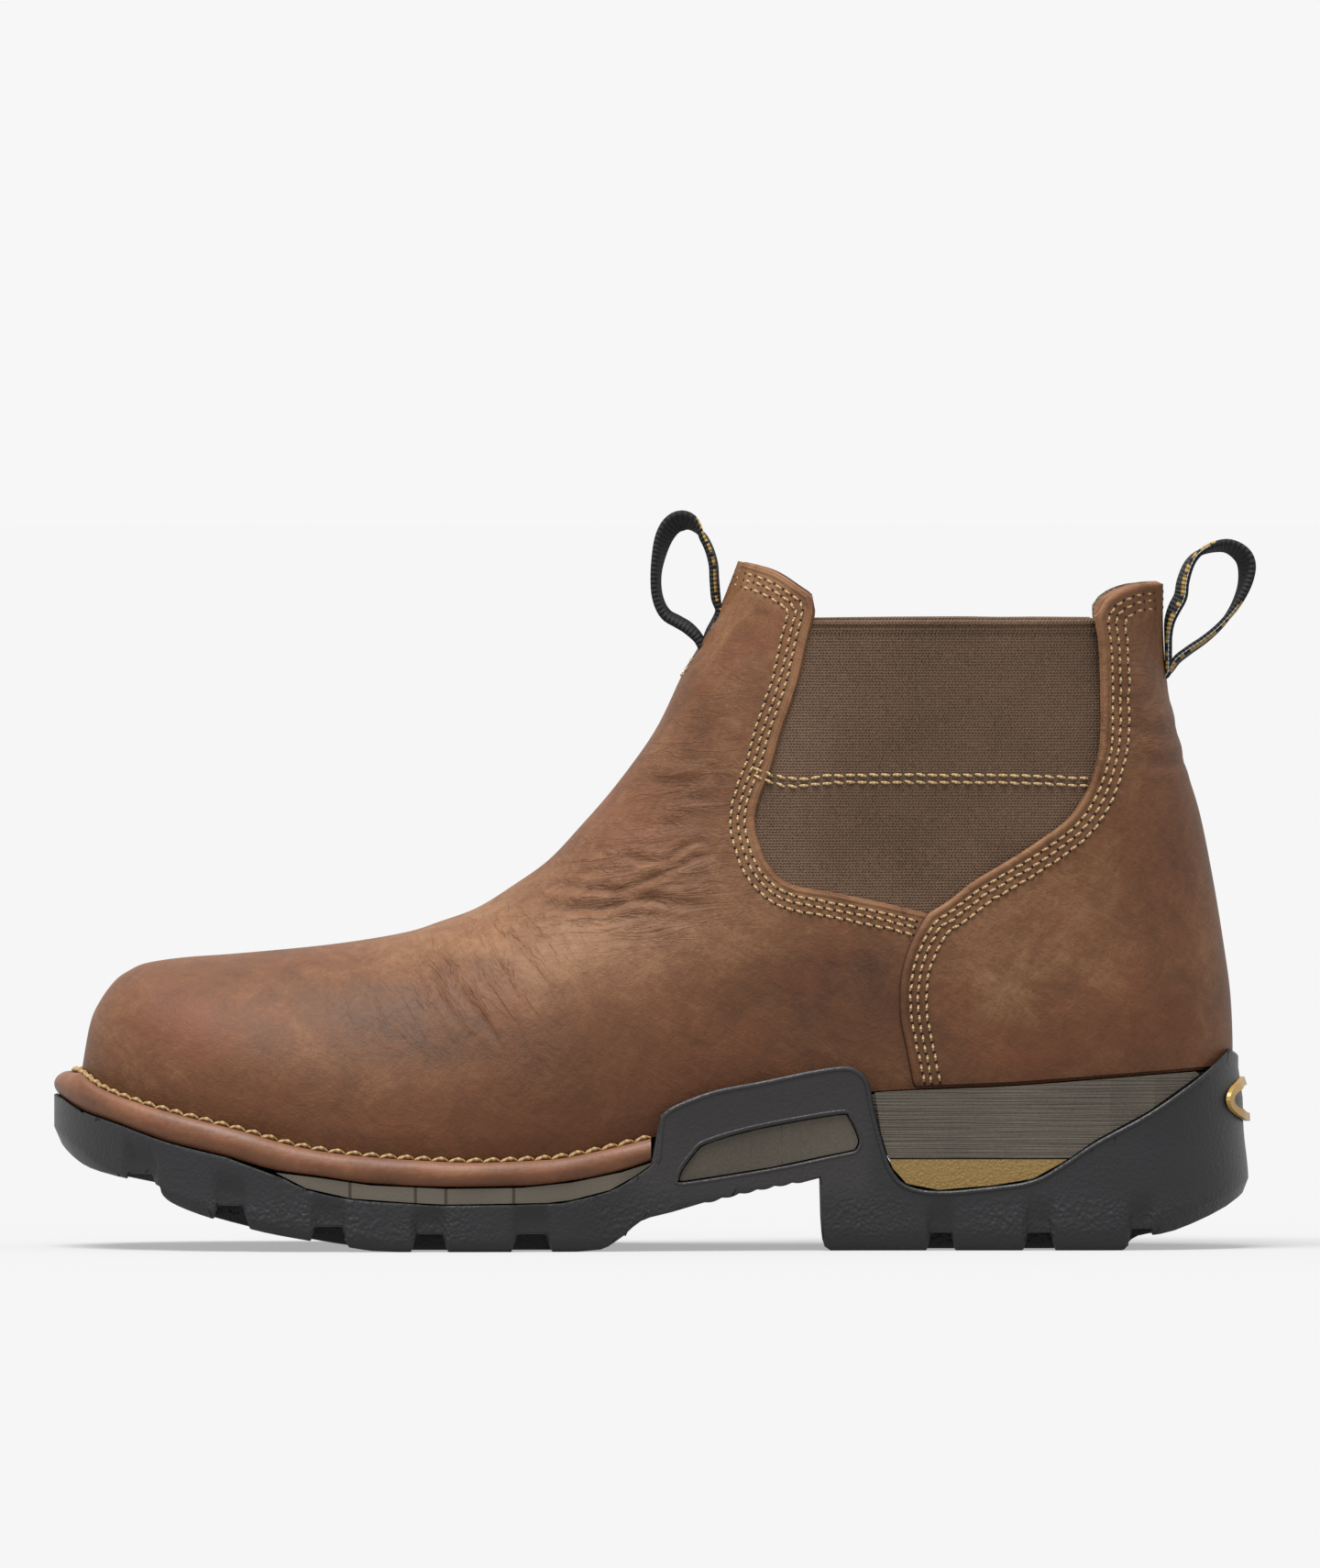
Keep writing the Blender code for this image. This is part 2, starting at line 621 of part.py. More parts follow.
def feather_run(low_share, high_share, drop, count=10):
    shares = [low_share + (high_share - low_share) * k / count for k in range(count + 1)]
    return [(side_x(s), float(feather_z(side_x(s))) - drop) for s in shares]


def make_midsole():
    floor_rows = sorted(welt_foot[:6] + band_foot[1:7] + hollow_floor[1:])

    def floor(x):
        return heel_height * np.interp(length_share(x), *zip(*floor_rows)) + 2 * clearance

    def core_inset(x):
        share = length_share(x)
        fore = smooth_step(0.47, 0.51, share)
        return (wing_wall + clearance) * (1 - fore) + (welt_width * 1.9 + clearance) * fore

    def core_ring(height):
        ring = []
        for point, out, width in zip(feather, feather_out, ledge):
            x, y = point + out * (width - core_inset(point[0]))
            z = float(height(x))
            heel_part = 1 - smooth_step(0.0, 0.30, length_share(x))
            ring.append((x - welt_width * lean_share(z / heel_height) * heel_part, y, z))
        return ring
    low = [core_ring(floor), core_ring(over_feather(-band_lift))]
    midsole = finish(make_object('midsole', stack_mesh('midsole', low)), foam)

    band = [(x, z + clearance) for x, z in sole_points(band_foot)]
    rim = [(x, z - clearance) for x, z in sole_points(welt_foot[5:])][::-1]
    fore = band[:-1] + [(side_x(0.501), band[-1][1])] + rim[:-1]
    cup = sole_points(wing_edge[9:21])
    wedge = [(side_x(0.315) + clearance, feather_z(side_x(0.315)) - clearance)]
    wedge += [(x + clearance, z) for x, z in cup[1:3]]
    gold_top = heel_height * insert_top + clearance
    wedge += [(side_x(0.303), gold_top), (side_x(0.152), gold_top)]
    wedge += [(x - clearance, z + clearance) for x, z in cup[9:12]]
    wedge += feather_run(0.046, 0.300, clearance)
    window = inset(sole_points(window_edge), clearance)
    sides = make_object('midsole_sides', sole_stack(
        'midsole_sides', at_share(0.05), [at_share(0.4), at_share(0.75), feather_z,
                                          over_feather(hollow_over)], side_recess), hidden=True)
    cut(sides, plates('grey_plates', [fore, wedge, window]), 'INTERSECT')
    cut(midsole, sides, 'UNION')
    return midsole


def welt_line(x):
    return heel_height * welt_foot_share(length_share(x))


def make_heel_insert():
    top = heel_height * insert_top
    seat_edge = inset(sole_points(wing_edge[11:19]), clearance)[1:-1]
    outline = [(side_x(0.303) + clearance, top)] + seat_edge + [(side_x(0.152) - 2 * clearance, top)]
    mesh = sole_stack('heel_insert', at_share(0.05), [at_share(0.4), at_share(0.75), feather_z],
                      side_recess * 0.8)
    insert = finish(make_object('heel_insert', mesh), gold_rubber)
    cut(insert, plates('insert_plate', [outline]), 'INTERSECT')


def make_welt():
    """Rounded band from the front of one wing round the toe to the other."""
    last = side_x(0.501)
    points = [(p, n, w) for p, n, w in zip(feather, feather_out, ledge)]
    half = len(points) // 2
    run = points[half + 1:] + points[:half]
    run = [item for item in run if item[0][0] < last - channel_margin]

    def end(a, b):
        t = (last - a[0][0]) / (b[0][0] - a[0][0])
        return tuple(u + (v - u) * t for u, v in zip(a, b))
    inner_end = next(end(a, b) for a, b in zip(points[::-1], points[::-1][1:]) if b[0][0] > last)
    outer_end = next(end(a, b) for a, b in zip(points, points[1:]) if b[0][0] > last)
    run = [inner_end] + run + [outer_end]
    lap = -welt_lap * welt_width
    sections = []
    for point, out, width in run:
        rows = [(lap, 0.0), (width - welt_round, 0.0), (width - 0.25 * welt_round, 0.22), (width, 0.5),
                (width - 0.6 * welt_round, 0.8), (width - 2.0 * welt_round, 1.02),
                (width - welt_shoulder, 1.03), (0.5 * welt_round, 0.98), (lap, 1.0)]
        section = []
        for distance, share in rows:
            x, y = point + out * distance
            low = float(welt_line(x)) + clearance
            high = float(feather_z(x)) - clearance
            section.append((x, y, low + (high - low) * share))
        sections.append(section)
    finish(make_object('welt', sweep_mesh('welt', sections)), welt_leather)


def make_insole():
    back_off = leather_wall + 4 * clearance
    low, high = [], []
    for point, out in zip(feather, feather_out):
        x, y = point - out * back_off
        low.append((x, y, float(feather_z(x)) + clearance * 0.5))
        high.append((x, y, float(feather_z(x)) + insole_thickness))
    finish(make_object('insole', stack_mesh('insole', [low, high])), footbed)


def band(name, path):
    """Flat webbing that follows a path in the side view."""
    pts = np.array(path)
    tangent = np.gradient(pts, axis=0)
    tangent = tangent / np.linalg.norm(tangent, axis=1)[:, None]
    half = 0.5 * loop_thickness
    sections = []
    for (x, z), (tx, tz) in zip(pts, tangent):
        nx, nz = -tz * half, tx * half
        sections.append([(x + nx, -0.5 * loop_width, z + nz), (x + nx, 0.5 * loop_width, z + nz),
                         (x - nx, 0.5 * loop_width, z - nz), (x - nx, -0.5 * loop_width, z - nz)])
    finish(make_object(name, sweep_mesh(name, sections)), webbing)


def seat(line, share, away):
    """Middle of the webbing where it lies against the leather at a height."""
    z = share * shaft_height
    stand = 2 * clearance + 0.5 * loop_thickness
    step = loop_thickness
    slope = (line(z + step) - line(z - step)) / (2 * step)
    lean = math.sqrt(1 + slope * slope)
    return (line(z) + away * stand / lean, z - away * stand * slope / lean)


def make_loops():
    def outside_back(z):
        return back_x(z) + overlay_step

    low, high = front_loop_seats
    path = [seat(front_x, share, -1) for share in low]
    path += [(collar_front[0] + s * collar_length, collar_front[1] + z * shaft_height)
             for s, z in front_loop[1:-1]]
    path += [seat(front_x, share, -1) for share in high[::-1]]
    band('front_pull_loop', spline(path, 4))
    high, low = rear_loop_seats
    path = [seat(outside_back, share, 1) for share in high]
    path += [(collar_back[0] + s * collar_length, collar_back[1] + z * shaft_height)
             for s, z in rear_loop]
    path += [seat(outside_back, share, 1) for share in low[::-1]]
    band('rear_pull_loop', spline(path, 4))


def make_badge():
    """Plain oval ring, raised from the back of the heel."""
    middle_z = 0.90 * heel_height
    ring = sole_ring(lambda x: middle_z)
    back = sorted((y, x) for x, y, _ in ring if x > side_x(0.13))

    def surface(y, z):
        x = np.interp(y, *zip(*back))
        lean = welt_width * (lean_share(z / heel_height) - lean_share(middle_z / heel_height))
        return x - lean
    sections = []
    count = 36
    for k in range(count):
        turn = 2 * math.pi * k / count
        section = []
        for width, lift in ((0, 0), (0, 1), (1, 1), (1, 0)):
            y = math.cos(turn) * (0.5 * badge_width - width * badge_band)
            z = middle_z + math.sin(turn) * (0.5 * badge_height - width * badge_band * 0.8)
            section.append((surface(y, z) + clearance * 2.5 + lift * badge_relief, y, z))
        sections.append(section)
    finish(make_object('heel_badge', sweep_mesh('heel_badge', sections, closed=True)), badge_gold)


for thing in list(bpy.data.objects):
    bpy.data.objects.remove(thing, do_unlink=True)
boot = bpy.data.collections.new('side_gore_boot')
tools = bpy.data.collections.new('boot_cutters')
bpy.context.scene.collection.children.link(boot)
bpy.context.scene.collection.children.link(tools)

leather = material('oiled_leather', (0.180, 0.085, 0.045), 0.55)
elastic = material('gore_elastic', (0.100, 0.068, 0.045), 0.85)
welt_leather = material('welt_leather', (0.165, 0.070, 0.042), 0.5)
rubber = material('black_rubber', (0.028, 0.029, 0.032), 0.6)
foam = material('taupe_midsole', (0.105, 0.090, 0.075), 0.7)
gold_rubber = material('tan_insert', (0.300, 0.190, 0.055), 0.65)
footbed = material('footbed_fabric', (0.050, 0.045, 0.040), 0.9)
webbing = material('black_webbing', (0.012, 0.012, 0.013), 0.8)
badge_gold = material('badge_gold', (0.480, 0.290, 0.060), 0.45, 0.3)

make_upper()
make_gores()
make_outsole()
make_midsole()
make_heel_insert()
make_welt()
make_insole()
make_loops()
make_badge()
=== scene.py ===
import math

import bpy
import numpy as np
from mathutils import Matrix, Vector
from mathutils.bvhtree import BVHTree


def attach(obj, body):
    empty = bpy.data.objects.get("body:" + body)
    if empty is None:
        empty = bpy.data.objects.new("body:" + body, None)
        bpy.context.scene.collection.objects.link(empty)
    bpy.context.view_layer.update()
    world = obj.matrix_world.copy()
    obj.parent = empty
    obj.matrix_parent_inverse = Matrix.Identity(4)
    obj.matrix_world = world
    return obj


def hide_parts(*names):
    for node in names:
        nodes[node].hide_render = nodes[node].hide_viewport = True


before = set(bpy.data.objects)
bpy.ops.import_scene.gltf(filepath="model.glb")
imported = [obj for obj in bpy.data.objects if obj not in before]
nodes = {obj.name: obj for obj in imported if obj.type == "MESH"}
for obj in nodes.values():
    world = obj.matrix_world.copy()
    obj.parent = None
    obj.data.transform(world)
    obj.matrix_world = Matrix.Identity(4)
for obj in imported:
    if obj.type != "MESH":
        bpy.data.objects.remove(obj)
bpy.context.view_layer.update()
bpy.ops.object.select_all(action='DESELECT')
print("frame loaded:", len(nodes), "nodes")

# Everything is in metres: toe towards -X, outer side towards -Y, floor at z = 0.
boot = {
    "soleLength": 0.308, "heelBackX": 0.067, "ballWidth": 0.0975, "heelWidth": 0.0685,
    "heelHeight": 0.0424, "shaftHeight": 0.1766, "collarLength": 0.108, "collarWidth": 0.078,
    "toeRound": 0.052, "toeSwing": 0.003, "wall": 0.0024, "quarterStep": 0.0014, "solidStep": 0.0011,
    "goreRecess": 0.0009, "goreTopDrop": 0.0163, "weltWidth": 0.007, "wingWall": 0.003,
    "cupThinning": 0.4, "gap": 0.0003, "power": 2.2,
}

# Side views as shares of the sole's length from the heel's back and of the shaft's height.
frontLine = [
    (0.977, 0.257), (0.970, 0.324), (0.962, 0.357), (0.949, 0.388), (0.936, 0.404), (0.922, 0.414),
    (0.891, 0.422), (0.845, 0.428), (0.769, 0.441), (0.707, 0.458), (0.677, 0.474), (0.646, 0.494),
    (0.616, 0.527), (0.585, 0.566), (0.555, 0.621), (0.524, 0.687), (0.496, 0.757), (0.474, 0.837),
    (0.463, 0.869), (0.447, 0.917), (0.432, 0.981), (0.428, 1.000)]
backLine = [
    (0.019, 0.260), (0.019, 0.309), (0.021, 0.373), (0.026, 0.437), (0.035, 0.533), (0.046, 0.629),
    (0.057, 0.693), (0.066, 0.757), (0.074, 0.824), (0.077, 0.900), (0.077, 0.969)]
collarLine = [(0.0, 0.0), (0.08, 0.012), (0.16, 0.040), (0.22, 0.060), (0.50, 0.072), (0.80, 0.062),
              (0.845, 0.050), (0.87, 0.028), (0.91, 0.012), (0.95, 0.004), (1.0, 0.0)]
goreEdge = [
    (0.366, 0.928), (0.372, 0.885), (0.381, 0.818), (0.394, 0.752), (0.402, 0.701), (0.411, 0.660),
    (0.415, 0.620), (0.408, 0.574), (0.398, 0.548), (0.383, 0.530), (0.350, 0.519), (0.310, 0.505),
    (0.269, 0.488), (0.252, 0.506), (0.232, 0.534), (0.213, 0.554), (0.187, 0.582), (0.161, 0.614),
    (0.149, 0.634), (0.137, 0.668), (0.130, 0.707), (0.126, 0.752), (0.127, 0.866), (0.131, 0.920)]
quarterSeam = [(0.280, 0.238), (0.287, 0.299), (0.291, 0.332), (0.292, 0.367), (0.291, 0.394),
               (0.287, 0.425), (0.280, 0.455), (0.269, 0.488)]
# Side views of the sole, as shares of its length and of the heel's height.
featherLine = [
    (0.977, 1.068), (0.960, 0.983), (0.924, 0.889), (0.882, 0.807), (0.840, 0.731), (0.798, 0.645),
    (0.756, 0.594), (0.700, 0.561), (0.651, 0.545), (0.587, 0.561), (0.545, 0.611), (0.502, 0.684),
    (0.406, 0.837), (0.315, 0.962), (0.202, 1.000), (0.150, 1.028), (0.042, 1.085), (0.019, 1.092)]
weltFoot = [
    (0.998, 0.929), (0.977, 0.840), (0.945, 0.762), (0.903, 0.656), (0.855, 0.573), (0.813, 0.490),
    (0.777, 0.455), (0.734, 0.410), (0.671, 0.389), (0.609, 0.394), (0.567, 0.425), (0.525, 0.486),
    (0.499, 0.547)]
bandFoot = [
    (0.813, 0.472), (0.788, 0.380), (0.750, 0.318), (0.700, 0.292), (0.671, 0.281), (0.587, 0.290),
    (0.567, 0.307), (0.535, 0.366), (0.514, 0.450), (0.501, 0.516)]
wingEdge = [
    (0.497, 0.524), (0.493, 0.823), (0.481, 0.884), (0.448, 0.974), (0.409, 1.028), (0.368, 1.090),
    (0.339, 1.118), (0.327, 1.090), (0.319, 1.019), (0.315, 0.868), (0.310, 0.717), (0.304, 0.568),
    (0.300, 0.495), (0.288, 0.399), (0.261, 0.361), (0.215, 0.389), (0.182, 0.429), (0.158, 0.524),
    (0.129, 0.663), (0.085, 0.835), (0.042, 1.052), (0.018, 1.208), (-0.010, 1.070)]
windowEdge = [
    (0.478, 0.434), (0.475, 0.495), (0.464, 0.601), (0.454, 0.656), (0.413, 0.741), (0.345, 0.828),
    (0.335, 0.802), (0.327, 0.672), (0.330, 0.606), (0.360, 0.561), (0.401, 0.500), (0.472, 0.420)]
treadLine = [
    (1.016, 0.901), (1.016, 0.779), (1.000, 0.729), (0.994, 0.634), (0.979, 0.533), (0.960, 0.472),
    (0.910, 0.394), (0.907, 0.333), (0.895, 0.274), (0.865, 0.196), (0.823, 0.118), (0.788, 0.071),
    (0.752, 0.028), (0.711, 0.000), (0.562, 0.000), (0.531, 0.057), (0.509, 0.184), (0.483, 0.238),
    (0.442, 0.323), (0.401, 0.389), (0.360, 0.441), (0.358, 0.071), (0.351, 0.000), (0.107, 0.000),
    (0.094, 0.075), (0.064, 0.118), (0.021, 0.255), (-0.010, 0.430)]
groundLine = [(1.0, 0.70), (0.960, 0.472), (0.895, 0.274), (0.823, 0.118), (0.752, 0.028), (0.711, 0.0),
              (0.107, 0.0), (0.064, 0.118), (0.021, 0.255), (0.0, 0.36)]
hollowFloor = [(0.600, 0.30), (0.530, 0.37), (0.497, 0.40), (0.442, 0.43), (0.360, 0.56), (0.0, 0.56)]
heelLean = [(0.0, 0.05), (0.40, 0.0), (0.73, 0.18), (0.93, 0.22), (1.05, 0.42), (1.18, 0.52), (1.4, 0.57)]
# Plan: share of length, outer half, inner half, and how far the row follows the heel's width.
plan = [
    (0.00, 0.500, 0.500, 1.0), (0.10, 0.510, 0.505, 1.0), (0.20, 0.515, 0.485, 1.0),
    (0.30, 0.520, 0.440, 1.0), (0.40, 0.463, 0.352, 0.5), (0.50, 0.441, 0.338, 0.0),
    (0.58, 0.487, 0.400, 0.0), (0.66, 0.513, 0.456, 0.0), (0.74, 0.513, 0.487, 0.0),
    (0.82, 0.490, 0.496, 0.0), (0.90, 0.450, 0.480, 0.0), (1.00, 0.400, 0.450, 0.0)]
ledgePlan = [(0.0, 0.81), (0.1, 0.70), (0.3, 0.62), (0.45, 0.62), (0.52, 0.86), (0.6, 0.97), (1.0, 1.01)]
wallBulge = [(0.0, 1.0), (0.04, 1.028), (0.11, 1.045), (0.20, 1.03), (0.35, 0.98), (1.0, 0.98)]
shaftHalf = [(0.0, 0.44), (0.5, 0.44), (0.65, 0.455), (0.8, 0.48), (1.0, 0.50)]
backRound = [(0.25, 0.36), (0.6, 0.42), (1.0, 0.49)]
rowPlaces = [
    (0.0, 0.0, 0.0), (0.1, 0.045, 0.06), (0.2, 0.10, 0.12), (0.3, 0.165, 0.18), (0.4, 0.255, 0.25),
    (0.5, 0.36, 0.33), (0.6, 0.47, 0.42), (0.7, 0.58, 0.52), (0.8, 0.70, 0.64), (0.9, 0.85, 0.82),
    (1.0, 1.0, 1.0)]
foreGrooves = [(0.926, 0.028), (0.851, 0.029), (0.769, 0.031), (0.685, 0.030), (0.600, 0.033)]
heelGrooves = [(0.259, 0.023), (0.177, 0.026), (0.092, 0.022)]
centreGrooves = [0.888, 0.810, 0.727, 0.643, 0.300, 0.238, 0.150]


def smoothTable(rows, column=1):      # a monotone curve through the rows
    order = sorted(rows)
    xs = np.array([row[0] for row in order], dtype=float)
    ys = np.array([row[column] for row in order], dtype=float)
    rise = np.diff(ys) / np.diff(xs)
    slope = np.zeros(len(xs))
    slope[0], slope[-1] = rise[0], rise[-1]
    for i in range(1, len(xs) - 1):
        if rise[i - 1] * rise[i] > 0:
            slope[i] = 2 * rise[i - 1] * rise[i] / (rise[i - 1] + rise[i])

    def value(x):
        x = np.clip(x, xs[0], xs[-1])
        i = np.clip(np.searchsorted(xs, x) - 1, 0, len(rise) - 1)
        width = xs[i + 1] - xs[i]
        t = (x - xs[i]) / width
        return (ys[i] * (1 + 2 * t) * (1 - t) ** 2 + ys[i + 1] * t * t * (3 - 2 * t)
                + width * (slope[i] * t * (1 - t) ** 2 - slope[i + 1] * t * t * (1 - t)))
    return value


def smoothStep(low, high, x):
    t = np.clip((x - low) / (high - low), 0.0, 1.0)
    return t * t * (3 - 2 * t)


def spline(points, steps):            # a soft curve through 2D or 3D points
    pts = [np.array(p, dtype=float) for p in points]
    ends = [2 * pts[0] - pts[1]] + pts + [2 * pts[-1] - pts[-2]]
    result = []
    for i in range(len(pts) - 1):
        a, b, c, d = ends[i:i + 4]
        for k in range(steps):
            t = k / steps
            result.append(0.5 * (2 * b + (c - a) * t + (2 * a - 5 * b + 4 * c - d) * t * t
                                 + (3 * b - a - 3 * c + d) * t ** 3))
    result.append(pts[-1])
    return np.array(result)


def softOutline(points, steps=4, corner=38.0):   # a spline that keeps the outline's corners sharp
    pts = np.array(points, dtype=float)
    breaks = [0]
    for i in range(1, len(pts) - 1):
        a, b = pts[i] - pts[i - 1], pts[i + 1] - pts[i]
        turn = abs(math.atan2(a[0] * b[1] - a[1] * b[0], a @ b))
        if turn > math.radians(corner):
            breaks.append(i)
    breaks.append(len(pts) - 1)
    result = []
    for start, end in zip(breaks, breaks[1:]):
        run = spline(pts[start:end + 1], steps) if end - start > 1 else pts[start:end + 1]
        result.extend(run[:-1])
    result.append(pts[-1])
    return np.array(result)


def sideX(share):
    return boot["heelBackX"] - share * boot["soleLength"]


def lengthShare(x):
    return (boot["heelBackX"] - x) / boot["soleLength"]


def shaftPoints(rows):
    return [(sideX(s), z * boot["shaftHeight"]) for s, z in rows]


def solePoints(rows):
    return [(sideX(s), z * boot["heelHeight"]) for s, z in rows]


class Curve:                          # a dense line in the side view
    def __init__(self, points):
        self.points = np.array(points)
        steps = np.linalg.norm(np.diff(self.points, axis=0), axis=1)
        self.run = np.concatenate([[0.0], np.cumsum(steps)]) / steps.sum()

    def at(self, share):
        return np.array([np.interp(share, self.run, self.points[:, k]) for k in range(2)])

    def distance(self, x, z):
        place = np.stack(np.broadcast_arrays(x, z), axis=-1).astype(float)
        best = np.full(place.shape[:-1], 9.0)
        for a, b in zip(self.points, self.points[1:]):
            t = np.clip(((place - a) @ (b - a)) / max((b - a) @ (b - a), 1e-12), 0, 1)
            best = np.minimum(best, np.linalg.norm(place - a - t[..., None] * (b - a), axis=-1))
        return best


featherShare, weltShare, groundShare = (smoothTable(t) for t in (featherLine, weltFoot, groundLine))
planOuter, planInner, planHeel = (smoothTable(plan, k) for k in (1, 2, 3))
ledgeShare, bulge, shaftShare = (smoothTable(t) for t in (ledgePlan, wallBulge, shaftHalf))
backRoundShare, collarDrop, leanShare = (smoothTable(t) for t in (backRound, collarLine, heelLean))
rowFront, rowBack = smoothTable(rowPlaces, 1), smoothTable(rowPlaces, 2)


def featherZ(x):
    return boot["heelHeight"] * featherShare(lengthShare(x))


def groundZ(x):
    return boot["heelHeight"] * groundShare(lengthShare(x))


toeX = sideX(featherLine[0][0])
frontPoints = shaftPoints(frontLine)
frontPoints[0] = (toeX, float(featherZ(toeX)))
backPoints = shaftPoints(backLine)
backPoints[0] = (backPoints[0][0], float(featherZ(backPoints[0][0])))
frontCurve = Curve(spline(frontPoints, 8))
backCurve = Curve(spline(backPoints, 6))


def topZ(x):
    return np.interp(x, frontCurve.points[:, 0], frontCurve.points[:, 1])


def backX(z):
    return np.interp(z, backCurve.points[:, 1], backCurve.points[:, 0])


def roundOff(depth):
    power = boot["power"]
    return (1 - (1 - np.clip(depth, 0.0, 1.0)) ** power) ** (1 / power)


def centreY(x):
    return boot["toeSwing"] * smoothStep(0.65, 1.0, lengthShare(x))


def upperY(x, z, side):               # outer face of the upper, side -1 outer and 1 inner
    share, high = lengthShare(x), z / boot["shaftHeight"]
    base = boot["heelWidth"] * planHeel(share) + boot["ballWidth"] * (1 - planHeel(share))
    half = base * (planOuter(share) if side < 0 else planInner(share))
    height = np.maximum(z - featherZ(x), 0.0)
    half = half * bulge(height / boot["shaftHeight"])
    onShaft = smoothStep(0.38, 0.68, high)
    half = half * (1 - onShaft) + boot["collarWidth"] * shaftShare(high) * onShaft
    toeEnd = roundOff((x - toeX) / boot["toeRound"])
    section = np.maximum(topZ(x) - featherZ(x), 1e-6)
    toeTop = (1 - np.clip(height / section, 0, 1) ** 2.5) ** 0.5
    instepTop = roundOff(frontCurve.distance(x, z) / (0.54 * boot["collarLength"]))
    onVamp = 1 - smoothStep(0.70, 0.85, share)
    top = toeTop * (1 - onVamp) + instepTop * onVamp
    heelEnd = roundOff((backX(z) - x) / (backRoundShare(high) * boot["collarLength"]))
    middle = centreY(x)
    return middle + side * (half - side * middle) * toeEnd * top * heelEnd


def evenSteps(weight, count):         # places from 0 to 1 that lie closer where the weight is high
    fine = np.linspace(0, 1, 2001)
    run = np.concatenate([[0.0], np.cumsum(weight(0.5 * (fine[1:] + fine[:-1])))])
    return np.interp(np.linspace(0, 1, count + 1), run / run[-1], fine)


def belowChord(x):                    # how far the feather line hangs below its own chord
    low, high = frontCurve.at(0.0), backCurve.at(0.0)
    return featherZ(x) - low[1] - (high[1] - low[1]) * (x - low[0]) / (high[0] - low[0])


def ringPoints(row, share):
    front, back = frontCurve.at(rowFront(row)), backCurve.at(rowBack(row))
    x = front[0] + (back[0] - front[0]) * share
    z = front[1] + (back[1] - front[1]) * share
    hang = belowChord(x) - belowChord(front[0]) * (1 - share) - belowChord(back[0]) * share
    return x, z + hang * (1 - row) ** 1.5 - collarDrop(share) * boot["shaftHeight"] * row ** 5


def upperGrid(rows, outerShares, innerShares):   # closed rings of the upper's outer face
    grid = []
    for row in rows:
        x, z = ringPoints(row, outerShares)
        outer = np.stack([x, upperY(x, z, -1), z], axis=1)
        x, z = ringPoints(row, innerShares)
        inner = np.stack([x, upperY(x, z, 1), z], axis=1)[1:-1]
        grid.append(np.concatenate([outer, inner[::-1]]))
    return np.array(grid)


def gridNormals(grid, closed=True):
    if closed:
        along = np.roll(grid, -1, axis=1) - np.roll(grid, 1, axis=1)
    else:
        along = np.gradient(grid, axis=1)
    normal = np.cross(along, np.gradient(grid, axis=0))
    return normal / np.maximum(np.linalg.norm(normal, axis=2), 1e-12)[:, :, None]


# objects
def newObject(name, points, faces):
    mesh = bpy.data.meshes.new(name)
    mesh.from_pydata([tuple(map(float, p)) for p in points], [], [tuple(map(int, f)) for f in faces])
    mesh.validate()
    thing = bpy.data.objects.new(name, mesh)
    bpy.context.scene.collection.objects.link(thing)
    return thing


def makeActive(thing):
    bpy.ops.object.select_all(action='DESELECT')
    thing.select_set(True)
    bpy.context.view_layer.objects.active = thing


def tidyNormals(thing):
    makeActive(thing)
    bpy.ops.object.mode_set(mode='EDIT')
    bpy.ops.mesh.select_all(action='SELECT')
    bpy.ops.mesh.normals_make_consistent(inside=False)
    bpy.ops.object.mode_set(mode='OBJECT')
    return thing


def smoothShade(thing, degrees=35.0):
    makeActive(thing)
    bpy.ops.object.shade_smooth_by_angle(angle=math.radians(degrees))
    return thing


def gridFaces(rows, columns, closed=True):
    faces = []
    for r in range(rows - 1):
        for c in range(columns if closed else columns - 1):
            d = (c + 1) % columns
            faces.append((r * columns + c, r * columns + d, (r + 1) * columns + d, (r + 1) * columns + c))
    return faces


def stackObject(name, rings):         # a solid through closed rings, ends closed by strips
    rings = np.array(rings)
    count, columns = rings.shape[:2]
    faces = gridFaces(count, columns)
    half = columns // 2
    for base in (0, (count - 1) * columns):
        faces.append((base, base + 1, base + columns - 1))
        faces.append((base + half - 1, base + half, base + half + 1))
        for i in range(1, half - 1):
            faces.append((base + i, base + i + 1, base + columns - i - 1, base + columns - i))
    return tidyNormals(newObject(name, rings.reshape(-1, 3), faces))


def sweepObject(name, sections, closed=False):
    sections = np.array(sections)
    count, columns = sections.shape[:2]
    faces = gridFaces(count, columns)
    if closed:
        last = (count - 1) * columns
        faces += [(last + c, last + (c + 1) % columns, (c + 1) % columns, c) for c in range(columns)]
    else:
        faces += [tuple(range(columns)), tuple(range((count - 1) * columns, count * columns))]
    return tidyNormals(newObject(name, sections.reshape(-1, 3), faces))


def plateObject(name, outline, lowY=-0.1, highY=0.1):   # a side-view outline run across the boot
    pts = [tuple(p) for p in outline]
    count = len(pts)
    points = [(x, lowY, z) for x, z in pts] + [(x, highY, z) for x, z in pts]
    faces = [tuple(range(count)), tuple(range(count, 2 * count))]
    faces += [(i, (i + 1) % count, count + (i + 1) % count, count + i) for i in range(count)]
    return tidyNormals(newObject(name, points, faces))


